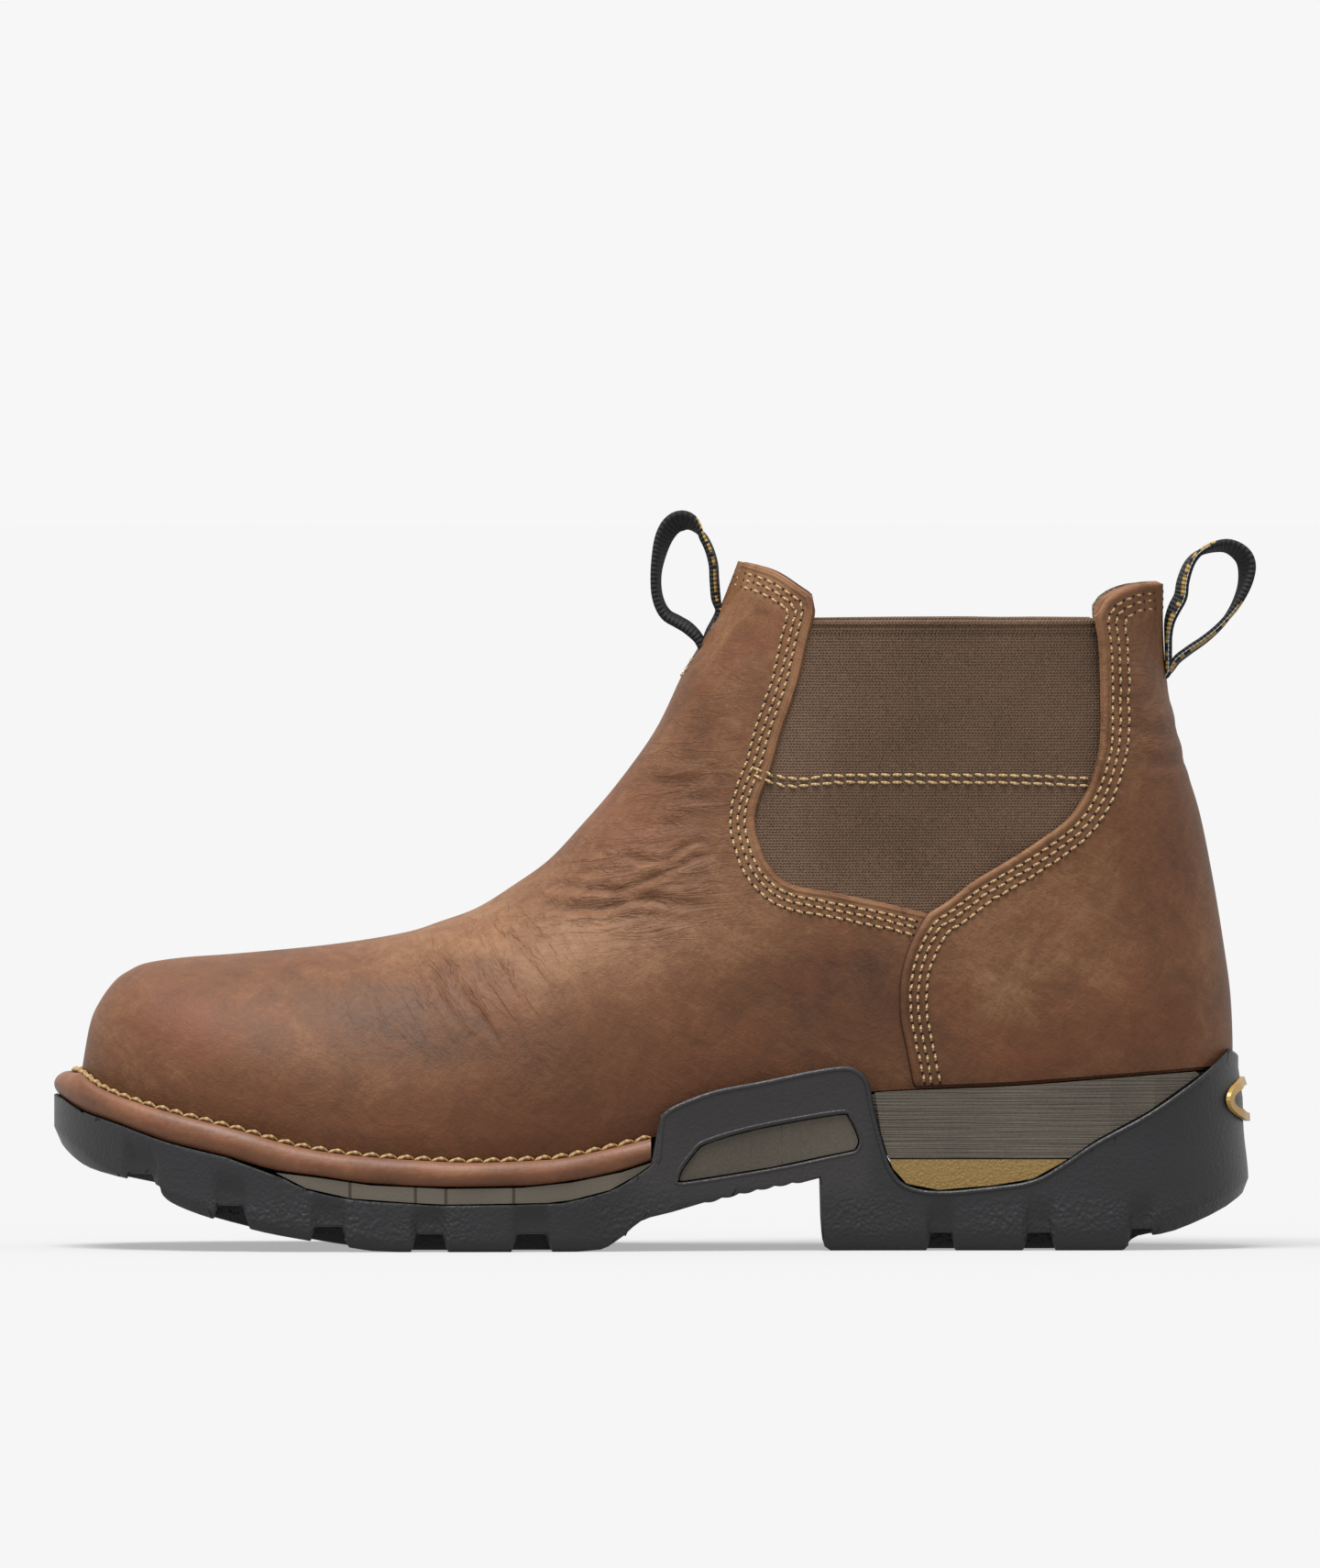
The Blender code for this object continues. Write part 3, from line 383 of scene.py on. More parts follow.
def wedgesObject(name, places, taper, flare):   # grooves that open towards the ground
    points, faces = [], []
    for middle, half, lowY, highY, ceiling in places:
        base = len(points)
        wide, narrow = flare * half, taper * half
        shoulder, bottom = ceiling - 0.006, ceiling - 0.03
        for x, z in ((-wide, shoulder), (-narrow, ceiling), (narrow, ceiling), (wide, shoulder),
                     (wide, bottom), (-wide, bottom)):
            points += [(middle + x, lowY, z), (middle + x, highY, z)]
        faces += [tuple(base + 2 * i for i in range(6)), tuple(base + 2 * i + 1 for i in range(6))]
        faces += [(base + 2 * i, base + 2 * i + 1, base + (2 * i + 3) % 12, base + (2 * i + 2) % 12)
                  for i in range(6)]
    return tidyNormals(newObject(name, points, faces))


def cut(target, tool, operation='DIFFERENCE'):
    makeActive(target)
    step = target.modifiers.new(operation, 'BOOLEAN')
    step.object, step.operation, step.solver = tool, operation, 'EXACT'
    bpy.ops.object.modifier_apply(modifier=step.name)
    bpy.data.objects.remove(tool, do_unlink=True)
    return target


def coat(thing, finish):
    thing.data.materials.clear()
    thing.data.materials.append(finish)


def place(thing, slotName, *replaced):
    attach(thing, "root")
    if replaced:
        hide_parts(*replaced)
    return thing


def cleanObject(thing, distance=0.00004):
    makeActive(thing)
    bpy.ops.object.mode_set(mode='EDIT')
    bpy.ops.mesh.select_all(action='SELECT')
    bpy.ops.mesh.remove_doubles(threshold=distance)
    bpy.ops.mesh.dissolve_degenerate(threshold=0.00001)
    bpy.ops.object.mode_set(mode='OBJECT')
    return thing


# shaders
class Value:                          # a socket that takes sums and products like a number
    def __init__(self, shader, socket):
        self.shader, self.socket = shader, socket

    def math(self, operation, *values):
        return self.shader.node('Math', {'operation': operation}, list(values))

    def __add__(self, other):
        return self.math('ADD', self, other)

    def __sub__(self, other):
        return self.math('SUBTRACT', self, other)

    def __rsub__(self, other):
        return self.math('SUBTRACT', other, self)

    def __mul__(self, other):
        return self.math('MULTIPLY', self, other)

    def sine(self):
        return self.math('SINE', self)

    def clamp(self):
        return self.shader.node('Clamp', {}, [self, 0.0, 1.0])

    def absolute(self):
        return self.math('ABSOLUTE', self)

    __radd__, __rmul__ = __add__, __mul__


class Shader:
    def __init__(self, name, **constants):
        self.material = bpy.data.materials.new(name)
        self.material.use_nodes = True
        self.tree = self.material.node_tree
        self.surface = self.tree.nodes['Principled BSDF']
        for key, value in constants.items():
            self.surface.inputs[key.replace('_', ' ')].default_value = value
        self.place = self.node('TexCoord', {}, {}, 'Object')

    def node(self, kind, settings, inputs, output=0):
        made = self.tree.nodes.new('ShaderNode' + kind)
        for key, value in settings.items():
            if key == 'stops':
                ramp = made.color_ramp
                while len(ramp.elements) < len(value):
                    ramp.elements.new(0.5)
                for element, (position, colour) in zip(ramp.elements, value):
                    element.position, element.color = position, (*colour, 1.0)
            else:
                setattr(made, key, value)
        pairs = inputs.items() if isinstance(inputs, dict) else enumerate(inputs)
        for key, value in pairs:
            if isinstance(value, Value):
                self.tree.links.new(value.socket, made.inputs[key])
            else:
                made.inputs[key].default_value = value
        return Value(self, made.outputs[output])

    def noise(self, scale, detail=3.0, roughness=0.55, distortion=0.0, at=None):
        return self.node('TexNoise', {}, {'Vector': at or self.place, 'Scale': scale, 'Detail': detail,
                                          'Roughness': roughness, 'Distortion': distortion})

    def stretched(self, scale, turn=0.0):  # coordinates turned about y first, then scaled
        return self.node('Mapping', {'vector_type': 'TEXTURE'}, {
            'Vector': self.place, 'Rotation': (0.0, turn, 0.0), 'Scale': tuple(1 / v for v in scale)})

    def cells(self, scale, feature='F1'):
        return self.node('TexVoronoi', {'feature': feature}, {'Vector': self.place, 'Scale': scale})

    def mix(self, factor, first, second):
        values = [(*v, 1.0) if isinstance(v, tuple) else v for v in (first, second)]
        return self.node('Mix', {'data_type': 'RGBA'}, {0: factor, 6: values[0], 7: values[1]}, 2)

    def band(self, value, low, high):     # 0 below low, 1 above high
        return self.node('MapRange', {'interpolation_type': 'SMOOTHSTEP'}, [value, low, high, 0.0, 1.0])

    def attribute(self, name):
        return self.node('Attribute', {'attribute_name': name}, {}, 'Fac')

    def parts(self):                      # x, y and z of the place on the object
        split = self.node('SeparateXYZ', {}, [self.place])
        outs = split.socket.node.outputs
        return [Value(self, outs[k]) for k in range(3)]

    def set(self, **links):
        for key, value in links.items():
            self.tree.links.new(value.socket, self.surface.inputs[key.replace('_', ' ')])

    def bump(self, height):               # height in metres
        self.set(Normal=self.node('Bump', {}, {'Strength': 1.0, 'Distance': 1.0, 'Height': height}))


def leatherShader():
    look = {"dark": (0.046, 0.0215, 0.0115), "mid": (0.104, 0.0450, 0.0205), "light": (0.190, 0.100, 0.049),
            "red": (0.116, 0.036, 0.017), "worn": (0.215, 0.112, 0.054), "fold": (0.040, 0.018, 0.010)}
    s = Shader('oiledLeather', Roughness=0.5, Specular_IOR_Level=0.15)
    names = ('tone', 'warm', 'edge', 'fold', 'levelWrinkles', 'slantWrinkles')
    tone, warm, edge, fold, level, slant = (s.attribute(n) for n in names)
    clouds = s.noise(17.0, 5.0, 0.62, 0.6)
    patches = s.noise(64.0, 6.0, 0.68, 1.2)
    fibres = s.noise(520.0, 5.0, 0.78, 1.2)
    rubs = s.noise(1.0, 4.0, 0.70, 1.6, s.stretched((70.0, 110.0, 300.0), 0.5))
    rubsAcross = s.noise(1.0, 4.0, 0.70, 1.6, s.stretched((80.0, 110.0, 280.0), -0.7))
    specks = s.noise(1500.0, 2.0, 0.6)
    sums = (tone * 0.20 + clouds * 0.70 + patches * 0.70 + fibres * 0.48 + rubs * 0.32 + rubsAcross * 0.30
            + specks * 0.16)
    # sharp valleys where a stretched noise crosses its middle, as in the flexed parts of leather
    ripple = s.noise(1.0, 4.0, 0.60, 0.9, s.stretched((55.0, 70.0, 330.0), -0.10))
    slope = s.noise(1.0, 3.0, 0.55, 0.7, s.stretched((38.0, 60.0, 235.0), 1.02))
    valleys = s.band((ripple - 0.5).absolute(), 0.0, 0.055)
    furrows = s.band((slope - 0.5).absolute(), 0.0, 0.075)
    # painted shade: the wrinkle valley lines, darkened below along with the crease troughs
    deep = (1 - valleys) * level + (1 - furrows) * slant
    colour = s.node('ValToRGB', {'stops': [(0.10, look["dark"]), (0.50, look["mid"]), (0.93, look["light"])]},
                    [sums - 0.82])
    reds = s.noise(34.0, 4.0, 0.6, 0.8)
    colour = s.mix((warm * 0.50 + s.band(reds, 0.50, 0.70) * 0.32).clamp(), colour, look["red"])
    colour = s.mix(edge * s.band(patches, 0.30, 0.62) * 0.60, colour, look["worn"])
    # painted shade: the crease troughs and the fine wrinkle valleys are darkened towards a shade colour
    colour = s.mix((fold * 0.45 + deep * 0.13).clamp(), colour, look["fold"])
    scratch = s.band(s.noise(1.0, 3.0, 0.6, 3.0, s.stretched((90.0, 200.0, 1100.0), 0.6)), 0.62, 0.74)
    colour = s.mix(scratch * 0.14, colour, look["light"])
    s.set(Base_Color=colour, Roughness=(0.38 + fibres * 0.14 + patches * 0.20))
    grain = s.cells(1200.0, feature='DISTANCE_TO_EDGE')
    s.bump(grain * 0.00005 + fibres * 0.00013 + patches * 0.00035 + rubs * 0.00012
           + valleys * level * 0.00016 + ripple * level * 0.00105
           + furrows * slant * 0.00010 + slope * slant * 0.00170)
    return s.material


def liningShader():
    s = Shader('liningCloth', Roughness=0.9, Specular_IOR_Level=0.2)
    knit = s.cells(900.0)
    s.set(Base_Color=s.mix(knit, (0.10, 0.072, 0.048), (0.20, 0.150, 0.100)))
    s.bump(knit * 0.00025)
    return s.material


def goreShader():
    look = {"dark": (0.036, 0.021, 0.0135), "light": (0.140, 0.088, 0.057), "rib": 8600.0}
    s = Shader('goreElastic', Roughness=0.86, Specular_IOR_Level=0.12)
    x, _, z = s.parts()
    wander = s.noise(420.0, 2.0, 0.5)
    ribs = (z * look["rib"] + wander * 2.2).sine()
    yarns = (x * 7400.0 + (z * 4300.0).sine() * 1.4 + wander * 5.0).sine()
    fuzz = s.noise(2200.0, 3.0, 0.7)
    level = ribs * 0.05 + yarns * 0.09 + fuzz * 1.00 + s.noise(30.0, 3.0) * 0.40 - 0.20
    s.set(Base_Color=s.node('ValToRGB', {'stops': [(0.22, look["dark"]), (0.80, look["light"])]}, [level]))
    s.bump(ribs * 0.00005 + yarns * 0.00006 + fuzz * 0.00016)
    return s.material


def threadShader(name, low, high):
    s = Shader(name, Roughness=0.62, Specular_IOR_Level=0.35)
    u = s.attribute('along')
    ply = (u * 15.0).sine()
    fibre = s.noise(2600.0, 2.0)
    s.set(Base_Color=s.mix((fibre * 0.8 + ply * 0.26 + 0.1).clamp(), low, high))
    s.bump(ply * 0.00008 + fibre * 0.00006)
    return s.material


def plainShader(name, low, high, roughness=0.6, scale=700.0, height=0.00008):
    s = Shader(name, Roughness=roughness, Specular_IOR_Level=0.35)
    fine, broad = s.noise(scale, 3.0), s.noise(40.0, 3.0)
    s.set(Base_Color=s.mix((fine * 0.5 + broad * 0.5).clamp(), low, high),
          Roughness=fine * 0.12 + (roughness - 0.06))
    s.bump(fine * height)
    return s.material


def rubberShader():
    look = {"dark": (0.0035, 0.0036, 0.0042), "light": (0.0150, 0.0152, 0.0172),
            "wing": (0.0240, 0.0205, 0.0200)}
    s = Shader('blackRubber', Roughness=0.5, Specular_IOR_Level=0.36)
    x, _, z = s.parts()
    pebble = s.cells(980.0, feature='SMOOTH_F1')
    fine, broad = s.noise(1500.0, 3.0), s.noise(24.0, 3.0, 0.6)
    low = 1 - s.band(z, 0.009, 0.017)     # the lugs are pebbled, the wings nearly smooth
    rough = low * s.band(s.noise(22.0, 2.0), 0.35, 0.60)
    # painted reflection: the wings are mixed towards a paler brownish colour for the sheen they catch
    wing = s.band(x, -0.100, -0.085) * (1 - s.band(x, -0.034, -0.028)) * s.band(z, 0.010, 0.018)
    black = s.mix((fine * 0.5 + broad * 0.6 - 0.05).clamp(), look["dark"], look["light"])
    s.set(Base_Color=s.mix(wing * (fine * 0.5 + 0.4), black, look["wing"]),
          Roughness=0.36 + fine * 0.20 + rough * 0.05)
    s.bump(pebble * (rough * 0.00030 + 0.00012) + fine * 0.00012)
    return s.material


def foamShader():
    look = {"dark": (0.036, 0.030, 0.023), "light": (0.094, 0.080, 0.062), "joint": (0.014, 0.011, 0.008),
            "jointPlaces": (-0.1644, -0.1476, -0.1398, -0.1224)}
    s = Shader('taupeMidsole', Roughness=0.72, Specular_IOR_Level=0.2)
    x, _, z = s.parts()
    ridged = s.band(x, -0.031, -0.029)    # only the heel wedge has level lines
    lines = s.noise(1.0, 2.0, 0.5, 0.3, s.stretched((26.0, 26.0, 2300.0)))
    fine, broad = s.noise(1400.0, 2.0), s.noise(40.0, 3.0)
    paintedLightUnderWelt = 1 - s.band(x, -0.100, -0.090)   # painted light: this band is made paler to make up for the shade the welt casts on it
    value = (lines * 0.5 - 0.25) * ridged + fine * 0.35 + broad * 0.35 + paintedLightUnderWelt * 0.35 + 0.15
    colour = s.node('ValToRGB', {'stops': [(0.20, look["dark"]), (0.80, look["light"])]}, [value])
    low = 1 - s.band(z, 0.019, 0.021)
    for middle in look["jointPlaces"]:
        joint = 1 - s.band((x - middle).absolute(), 0.0002, 0.0006)
        colour = s.mix(joint * low * 0.7, colour, look["joint"])
    s.set(Base_Color=colour)
    s.bump(lines * ridged * 0.00050 + fine * 0.00008)
    return s.material


def insertShader():
    look = {"dark": (0.12, 0.074, 0.021), "light": (0.235, 0.150, 0.048)}
    s = Shader('tanInsert', Roughness=0.6, Specular_IOR_Level=0.25)
    pebble, fine = s.cells(1500.0, feature='SMOOTH_F1'), s.noise(1300.0, 3.0)
    s.set(Base_Color=s.mix((fine * 1.2 - 0.1).clamp(), look["dark"], look["light"]))
    s.bump(pebble * 0.00016 + fine * 0.00006)
    return s.material


def weltShader():
    look = {"dark": (0.050, 0.020, 0.010), "mid": (0.126, 0.049, 0.022), "light": (0.220, 0.102, 0.049)}
    s = Shader('weltLeather', Roughness=0.5, Specular_IOR_Level=0.25)
    broad, fine = s.noise(45.0, 4.0, 0.6, 0.5), s.noise(700.0, 3.0)
    streak = s.noise(1.0, 3.0, 0.6, 0.0, s.stretched((60.0, 60.0, 400.0)))
    level = broad * 0.75 + fine * 0.25 + streak * 0.3 - 0.15
    stops = [(0.15, look["dark"]), (0.55, look["mid"]), (0.95, look["light"])]
    s.set(Base_Color=s.node('ValToRGB', {'stops': stops}, [level]), Roughness=0.40 + fine * 0.2)
    s.bump(fine * 0.00010 + streak * 0.00012)
    return s.material


def webbingShader():
    look = {"dark": (0.010, 0.010, 0.0105), "light": (0.030, 0.030, 0.031), "gilt": (0.28, 0.174, 0.047),
            "pale": (0.50, 0.50, 0.49)}
    s = Shader('blackWebbing', Roughness=0.8, Specular_IOR_Level=0.12)
    along, across, face, trim = (s.attribute(n) for n in ('along', 'across', 'outward', 'trim'))
    ribs, cords = (along * 5.6).sine(), (across * 26.0).sine()
    colour = s.mix((ribs * 0.25 + cords * 0.2 + 0.45).clamp(), look["dark"], look["light"])
    rim = 1 - s.band(across, -0.62, -0.56)   # the near edge and the strip of the outer face beside it
    waves = (along * 1.9).sine() + (along * 0.53).sine() * 0.7 + (along * 3.7).sine() * 0.4
    gilt = rim * s.band(face, 0.30, 0.42) * s.band(waves, -0.7, -0.3) * s.band(trim, 0.2, 0.3)
    colour = s.mix(gilt, colour, look["gilt"])
    pale = (1 - s.band(across, -0.985, -0.975)) * s.band(face, 0.02, 0.08) * (1 - s.band(face, 0.18, 0.24))
    s.set(Base_Color=s.mix(pale * s.band(trim, 0.7, 0.8), colour, look["pale"]))
    s.bump(ribs * 0.00010 + cords * 0.00005)
    return s.material


def goldShader():
    s = Shader('badgeGold', Roughness=0.4, Metallic=0.25, Specular_IOR_Level=0.5)
    fine = s.noise(900.0, 3.0)
    s.set(Base_Color=s.mix(fine, (0.24, 0.135, 0.025), (0.42, 0.25, 0.055)), Roughness=fine * 0.25 + 0.28)
    s.bump(fine * 0.00008)
    return s.material


leather, lining, gore = leatherShader(), liningShader(), goreShader()
thread = threadShader('tanThread', (0.20, 0.122, 0.054), (0.47, 0.330, 0.165))
rope = threadShader('weltThread', (0.085, 0.045, 0.016), (0.40, 0.255, 0.100))
# dark brown for the needle holes, and for the painted shade along the quarter's seam
holeAndSeamShade = plainShader('holeAndSeamShade', (0.011, 0.005, 0.003), (0.020, 0.010, 0.006), 0.95)
rubber, foam, insert, weltLeather = rubberShader(), foamShader(), insertShader(), weltShader()
webbing, gold = webbingShader(), goldShader()
footbed = plainShader('footbedCloth', (0.020, 0.018, 0.016), (0.075, 0.067, 0.058), 0.9, 1400.0, 0.0002)
print("materials made")


# upper
upperLook = {
    "rows": 174, "columns": 280, "innerColumns": 120,
    "collarStart": 0.158, "collarFade": 0.012, "edgeReach": 0.007, "foldDepth": 0.0007,
    "creaseWidth": 0.78, "creaseDepth": 1.00, "creaseRim": 0.50, "innerShift": 6.0,
    # creases: points in mm in the side view (x, z), width in mm, depth in mm
    "creases": [
        ([(-120, 91), (-117, 88.9), (-110, 87.9), (-103, 87.6), (-96, 88.3), (-92, 89.8), (-87, 90),
          (-82, 88.6), (-75, 88.8)], 1.7, 0.85),
        ([(-111, 93.6), (-108.8, 93.0), (-101, 92.5), (-94.3, 92.1), (-89, 94.3), (-84, 96.9), (-79, 99.4),
          (-71, 102.2)], 1.6, 0.8),
        ([(-95, 101.5), (-92, 100.3), (-88, 99.7), (-84, 99.8), (-80.5, 101.6), (-77.5, 104),
          (-71, 104.6)], 1.4, 0.6),
        ([(-118, 92.2), (-111, 94.4), (-105, 95.5), (-98, 96)], 1.6, 0.45),
        ([(-101, 84.5), (-94, 85.2), (-88, 86.2), (-82, 85.3), (-77, 84.2)], 2.0, 0.35),
        ([(-90, 121.5), (-85, 120.2), (-79, 119.8), (-72, 120.4)], 1.8, 0.6),
        ([(-86, 117.2), (-81, 117), (-75, 115.9), (-70, 115.6)], 1.5, 0.4),
        ([(-86, 126.5), (-80, 125.6), (-74, 126)], 1.8, 0.35),
        ([(-95, 110), (-89, 108.6), (-83, 108.9), (-76, 110.4)], 2.2, 0.35),
        ([(-145, 83), (-143.6, 80), (-139.4, 72.1), (-134.6, 64.3), (-129.8, 58.3), (-126, 53)], 1.7, 0.50),
        ([(-141, 84), (-139.4, 82), (-135.2, 75.1), (-131, 69.1), (-127, 64)], 1.5, 0.50),
        ([(-136, 85.5), (-134, 83), (-129.8, 76.9), (-126, 71), (-122, 65)], 1.5, 0.45),
        ([(-131, 88), (-129.2, 86), (-125, 80.5), (-119.6, 75.1), (-114.8, 69)], 1.6, 0.45),
        ([(-149, 80), (-147.3, 76.9), (-143, 67.9), (-138, 60.7), (-134, 55)], 1.6, 0.35),
        ([(-126, 90), (-124.4, 88), (-119.6, 82.3), (-115, 77.5)], 1.5, 0.35),
        ([(-153, 79), (-151, 73), (-147, 65)], 1.8, 0.22),
        ([(30, 141.5), (38, 141), (46, 141.5)], 2.2, 0.5),
        ([(36, 133), (42, 132.2), (48, 133)], 2.4, 0.45),
        ([(38, 125.5), (44, 124.6), (51, 125)], 2.2, 0.35)],
    # where fine wrinkles lie: x, z, reach in x, reach in z in mm, strength; level ones and slanting ones
    "levelWrinkles": [
        (-95, 97, 26, 12, 1.0), (-80, 121, 13, 13, 0.8), (-70, 146, 9, 14, 0.35), (38, 134, 12, 12, 0.8),
        (-100, 83, 30, 7, 0.5), (36, 155, 9, 12, 0.5), (5, 100, 16, 12, 0.25)],
    "slantWrinkles": [
        (-137, 73, 17, 16, 1.0), (-160, 66, 14, 12, 0.35), (-118, 80, 14, 12, 0.7), (-110, 58, 22, 14, 0.25)],
    # broad forms: x, z, reach in x, reach in z, lift, all in mm
    "forms": [(-105, 79, 16, 9, 0.7), (-128, 74, 20, 12, 0.4), (-82, 92.5, 8, 3, 0.5), (-96, 105, 14, 7, 0.4),
              (-30, 60, 30, 14, -0.5), (5, 75, 20, 20, 0.4), (-185, 62, 25, 9, 0.3)],
    # patches of tone: x, z, reach in x, reach in z, lighter or darker, redness; mostly the leather's uneven
    # colour, but the light patches high on the vamp are partly a painted highlight
    "patches": [
        (-137, 86, 26, 10, 0.9, 0.0), (-104, 78, 24, 11, 0.9, 0.0), (-165, 62, 24, 10, -0.9, 0.0),
        (-115, 50, 26, 9, -0.8, 0.1), (-141, 55, 16, 7, -0.5, 0.0), (-85, 57, 20, 16, -0.1, 0.4),
        (-42, 69, 24, 12, -0.9, 0.0), (-28, 56, 16, 8, -0.1, 0.5), (0, 72, 15, 16, 0.8, 0.0),
        (17, 90, 14, 18, 0.35, 0.0), (44, 95, 10, 24, -0.8, 0.3), (37, 57, 22, 11, -0.5, 0.6),
        (36, 152, 7, 14, 0.4, 0.2), (-207, 58, 14, 10, 0.0, 0.9), (-228, 56, 7, 14, 0.4, 0.1),
        (-196, 75, 26, 5, -0.2, 0.2), (-122, 32, 66, 8, -0.7, 0.7), (-75, 134, 9, 26, -0.2, 0.1),
        (-90, 109, 11, 10, 0.1, 0.6), (50, 124, 7, 14, -0.8, 0.4), (-60, 100, 8, 12, 0.2, 0.0),
        (-185, 40, 24, 7, -0.5, 0.5), (-70, 44, 22, 9, -0.3, 0.5), (10, 49, 12, 6, -0.3, 0.7),
        (-72, 160, 7, 12, 0.3, 0.2), (-100, 92, 16, 4, -0.3, 0.2), (20, 110, 10, 9, 0.3, 0.1)],
}


def lineDistance(points, x, z):       # distance to an open line, and how far along it
    best, along = np.full(x.shape, 9.0), np.zeros(x.shape)
    pts = spline([np.array(p) * 0.001 for p in points], 3)
    place = np.stack([x, z], axis=-1)
    for i, (a, b) in enumerate(zip(pts, pts[1:])):
        t = np.clip(((place - a) @ (b - a)) / ((b - a) @ (b - a)), 0, 1)
        away = np.linalg.norm(place - a - t[..., None] * (b - a), axis=-1)
        near = away < best
        best, along = np.where(near, away, best), np.where(near, (i + t) / (len(pts) - 1), along)
    return best, along


def creaseLift(grid):                 # how far the creases and broad forms move the leather outwards
    x, z = grid[..., 0], grid[..., 2]
    lift = np.zeros(x.shape)
    for points, width, depth in upperLook["creases"]:
        away, along = lineDistance(points, x, z)
        fade = np.clip(np.minimum(along, 1 - along) * 4, 0, 1) * 0.85 + 0.15
        d = away / (width * 0.001 * upperLook["creaseWidth"])
        ridge = upperLook["creaseRim"] * np.exp(-((d - 1.9) / 1.05) ** 2)
        lift += depth * 0.001 * upperLook["creaseDepth"] * fade * (ridge - np.exp(-d * d))
    lift *= smoothStep(0.0015, 0.010, frontCurve.distance(x, z))
    for cx, cz, rx, rz, amount in upperLook["forms"]:
        lift += amount * 0.001 * np.exp(-((x * 1000 - cx) / rx) ** 2 - ((z * 1000 - cz) / rz) ** 2)
    return lift


def spread(spots, points):            # soft round spots added up
    x, z = points[..., 0] * 1000, points[..., 2] * 1000
    total = np.zeros(x.shape)
    for cx, cz, rx, rz, strength in spots:
        total += strength * np.exp(-((x - cx) / rx) ** 2 - ((z - cz) / rz) ** 2)
    return np.clip(total, 0, 1)


def toneOf(points):
    x, z = points[..., 0] * 1000, points[..., 2] * 1000
    tone, warm = np.zeros(x.shape), np.zeros(x.shape)
    shift = np.where(points[..., 1] > 0, upperLook["innerShift"], 0.0)   # the two sides aren't mirror images
    for cx, cz, rx, rz, light, red in upperLook["patches"]:
        weight = np.exp(-((x - cx - shift) / rx) ** 2 - ((z - cz) / rz) ** 2)
        tone += weight * light
        warm += weight * red
    return tone, warm


goreOutline = softOutline(shaftPoints(goreEdge))
seamOutline = softOutline(shaftPoints(quarterSeam))
goreTopLine = boot["shaftHeight"] - boot["goreTopDrop"]


def setAttribute(thing, name, values):
    layer = thing.data.attributes.new(name, 'FLOAT', 'POINT')
    layer.data.foreach_set('value', np.asarray(values, dtype=np.float32))


def dressLeather(thing):
    co = np.zeros(len(thing.data.vertices) * 3, np.float32)
    thing.data.vertices.foreach_get('co', co)
    co = co.reshape(-1, 3).astype(float)
    tone, warm = toneOf(co)
    away = Curve(goreOutline).distance(co[:, 0], co[:, 2])
    collar = np.clip((co[:, 2] - upperLook["collarStart"]) / upperLook["collarFade"], 0, 1)
    setAttribute(thing, 'tone', tone)
    setAttribute(thing, 'warm', warm)
    setAttribute(thing, 'levelWrinkles', spread(upperLook["levelWrinkles"], co))
    setAttribute(thing, 'slantWrinkles', spread(upperLook["slantWrinkles"], co))
    # painted shade: how deep each point lies in a crease trough, so that the troughs can be darkened
    setAttribute(thing, 'fold', np.clip(-creaseLift(co) / upperLook["foldDepth"], 0, 1))
    setAttribute(thing, 'edge', np.clip(np.maximum(1 - away / upperLook["edgeReach"], collar * 0.6), 0, 1))


def columnWeight(s):
    return (1 + 0.5 * (1 - smoothStep(0.35, 0.6, s))) / np.sqrt(s * (1 - s) + 0.006)


def rowWeight(s):
    return 1 + 0.7 * smoothStep(0.25, 0.4, s) * (1 - smoothStep(0.75, 0.9, s))


def hollowShell(name, outer, wall):   # fine outside, half as fine inside
    normals = gridNormals(outer)
    inner = (outer - normals * wall)[::2, ::2]
    inner[0, :, 2] = outer[0, ::2, 2]
    rows, columns = outer.shape[:2]
    innerRows, innerColumns = inner.shape[:2]
    base = rows * columns
    faces = gridFaces(rows, columns)
    faces += [tuple(base + i for i in f[::-1]) for f in gridFaces(innerRows, innerColumns)]
    for row, innerRow, flip in ((0, 0, True), (rows - 1, innerRows - 1, False)):
        for c in range(innerColumns):
            a, b = row * columns + 2 * c, row * columns + 2 * c + 1
            d = row * columns + (2 * c + 2) % columns
            e, g = base + innerRow * innerColumns + c, base + innerRow * innerColumns + (c + 1) % innerColumns
            for f in ((a, b, e), (b, g, e), (b, d, g)):
                faces.append(f[::-1] if flip else f)
    return newObject(name, np.concatenate([outer.reshape(-1, 3), inner.reshape(-1, 3)]), faces)


rowShares = evenSteps(rowWeight, upperLook["rows"])
skin = upperGrid(rowShares, evenSteps(columnWeight, upperLook["columns"]),
                 evenSteps(columnWeight, upperLook["innerColumns"]))
skinNormals = gridNormals(skin)
skin = skin + skinNormals * creaseLift(skin)[..., None]
upper = hollowShell('upperLeather', skin, boot["wall"])
insideStart = skin.shape[0] * skin.shape[1]
bodyTree = BVHTree.FromPolygons([Vector(p) for p in skin.reshape(-1, 3)], gridFaces(*skin.shape[:2]))
upper.data.materials.append(leather)
upper.data.materials.append(lining)
for face in upper.data.polygons:
    face.material_index = 1 if min(face.vertices) >= insideStart else 0
opening = [(goreOutline[0][0] + 0.001, 0.2)] + list(goreOutline) + [(goreOutline[-1][0] - 0.001, 0.2)]
cut(upper, plateObject('goreOpening', opening))
dressLeather(upper)
smoothShade(upper, 50)
place(upper, "upper_leather", "upper")
print("upper:", len(upper.data.polygons), "faces")

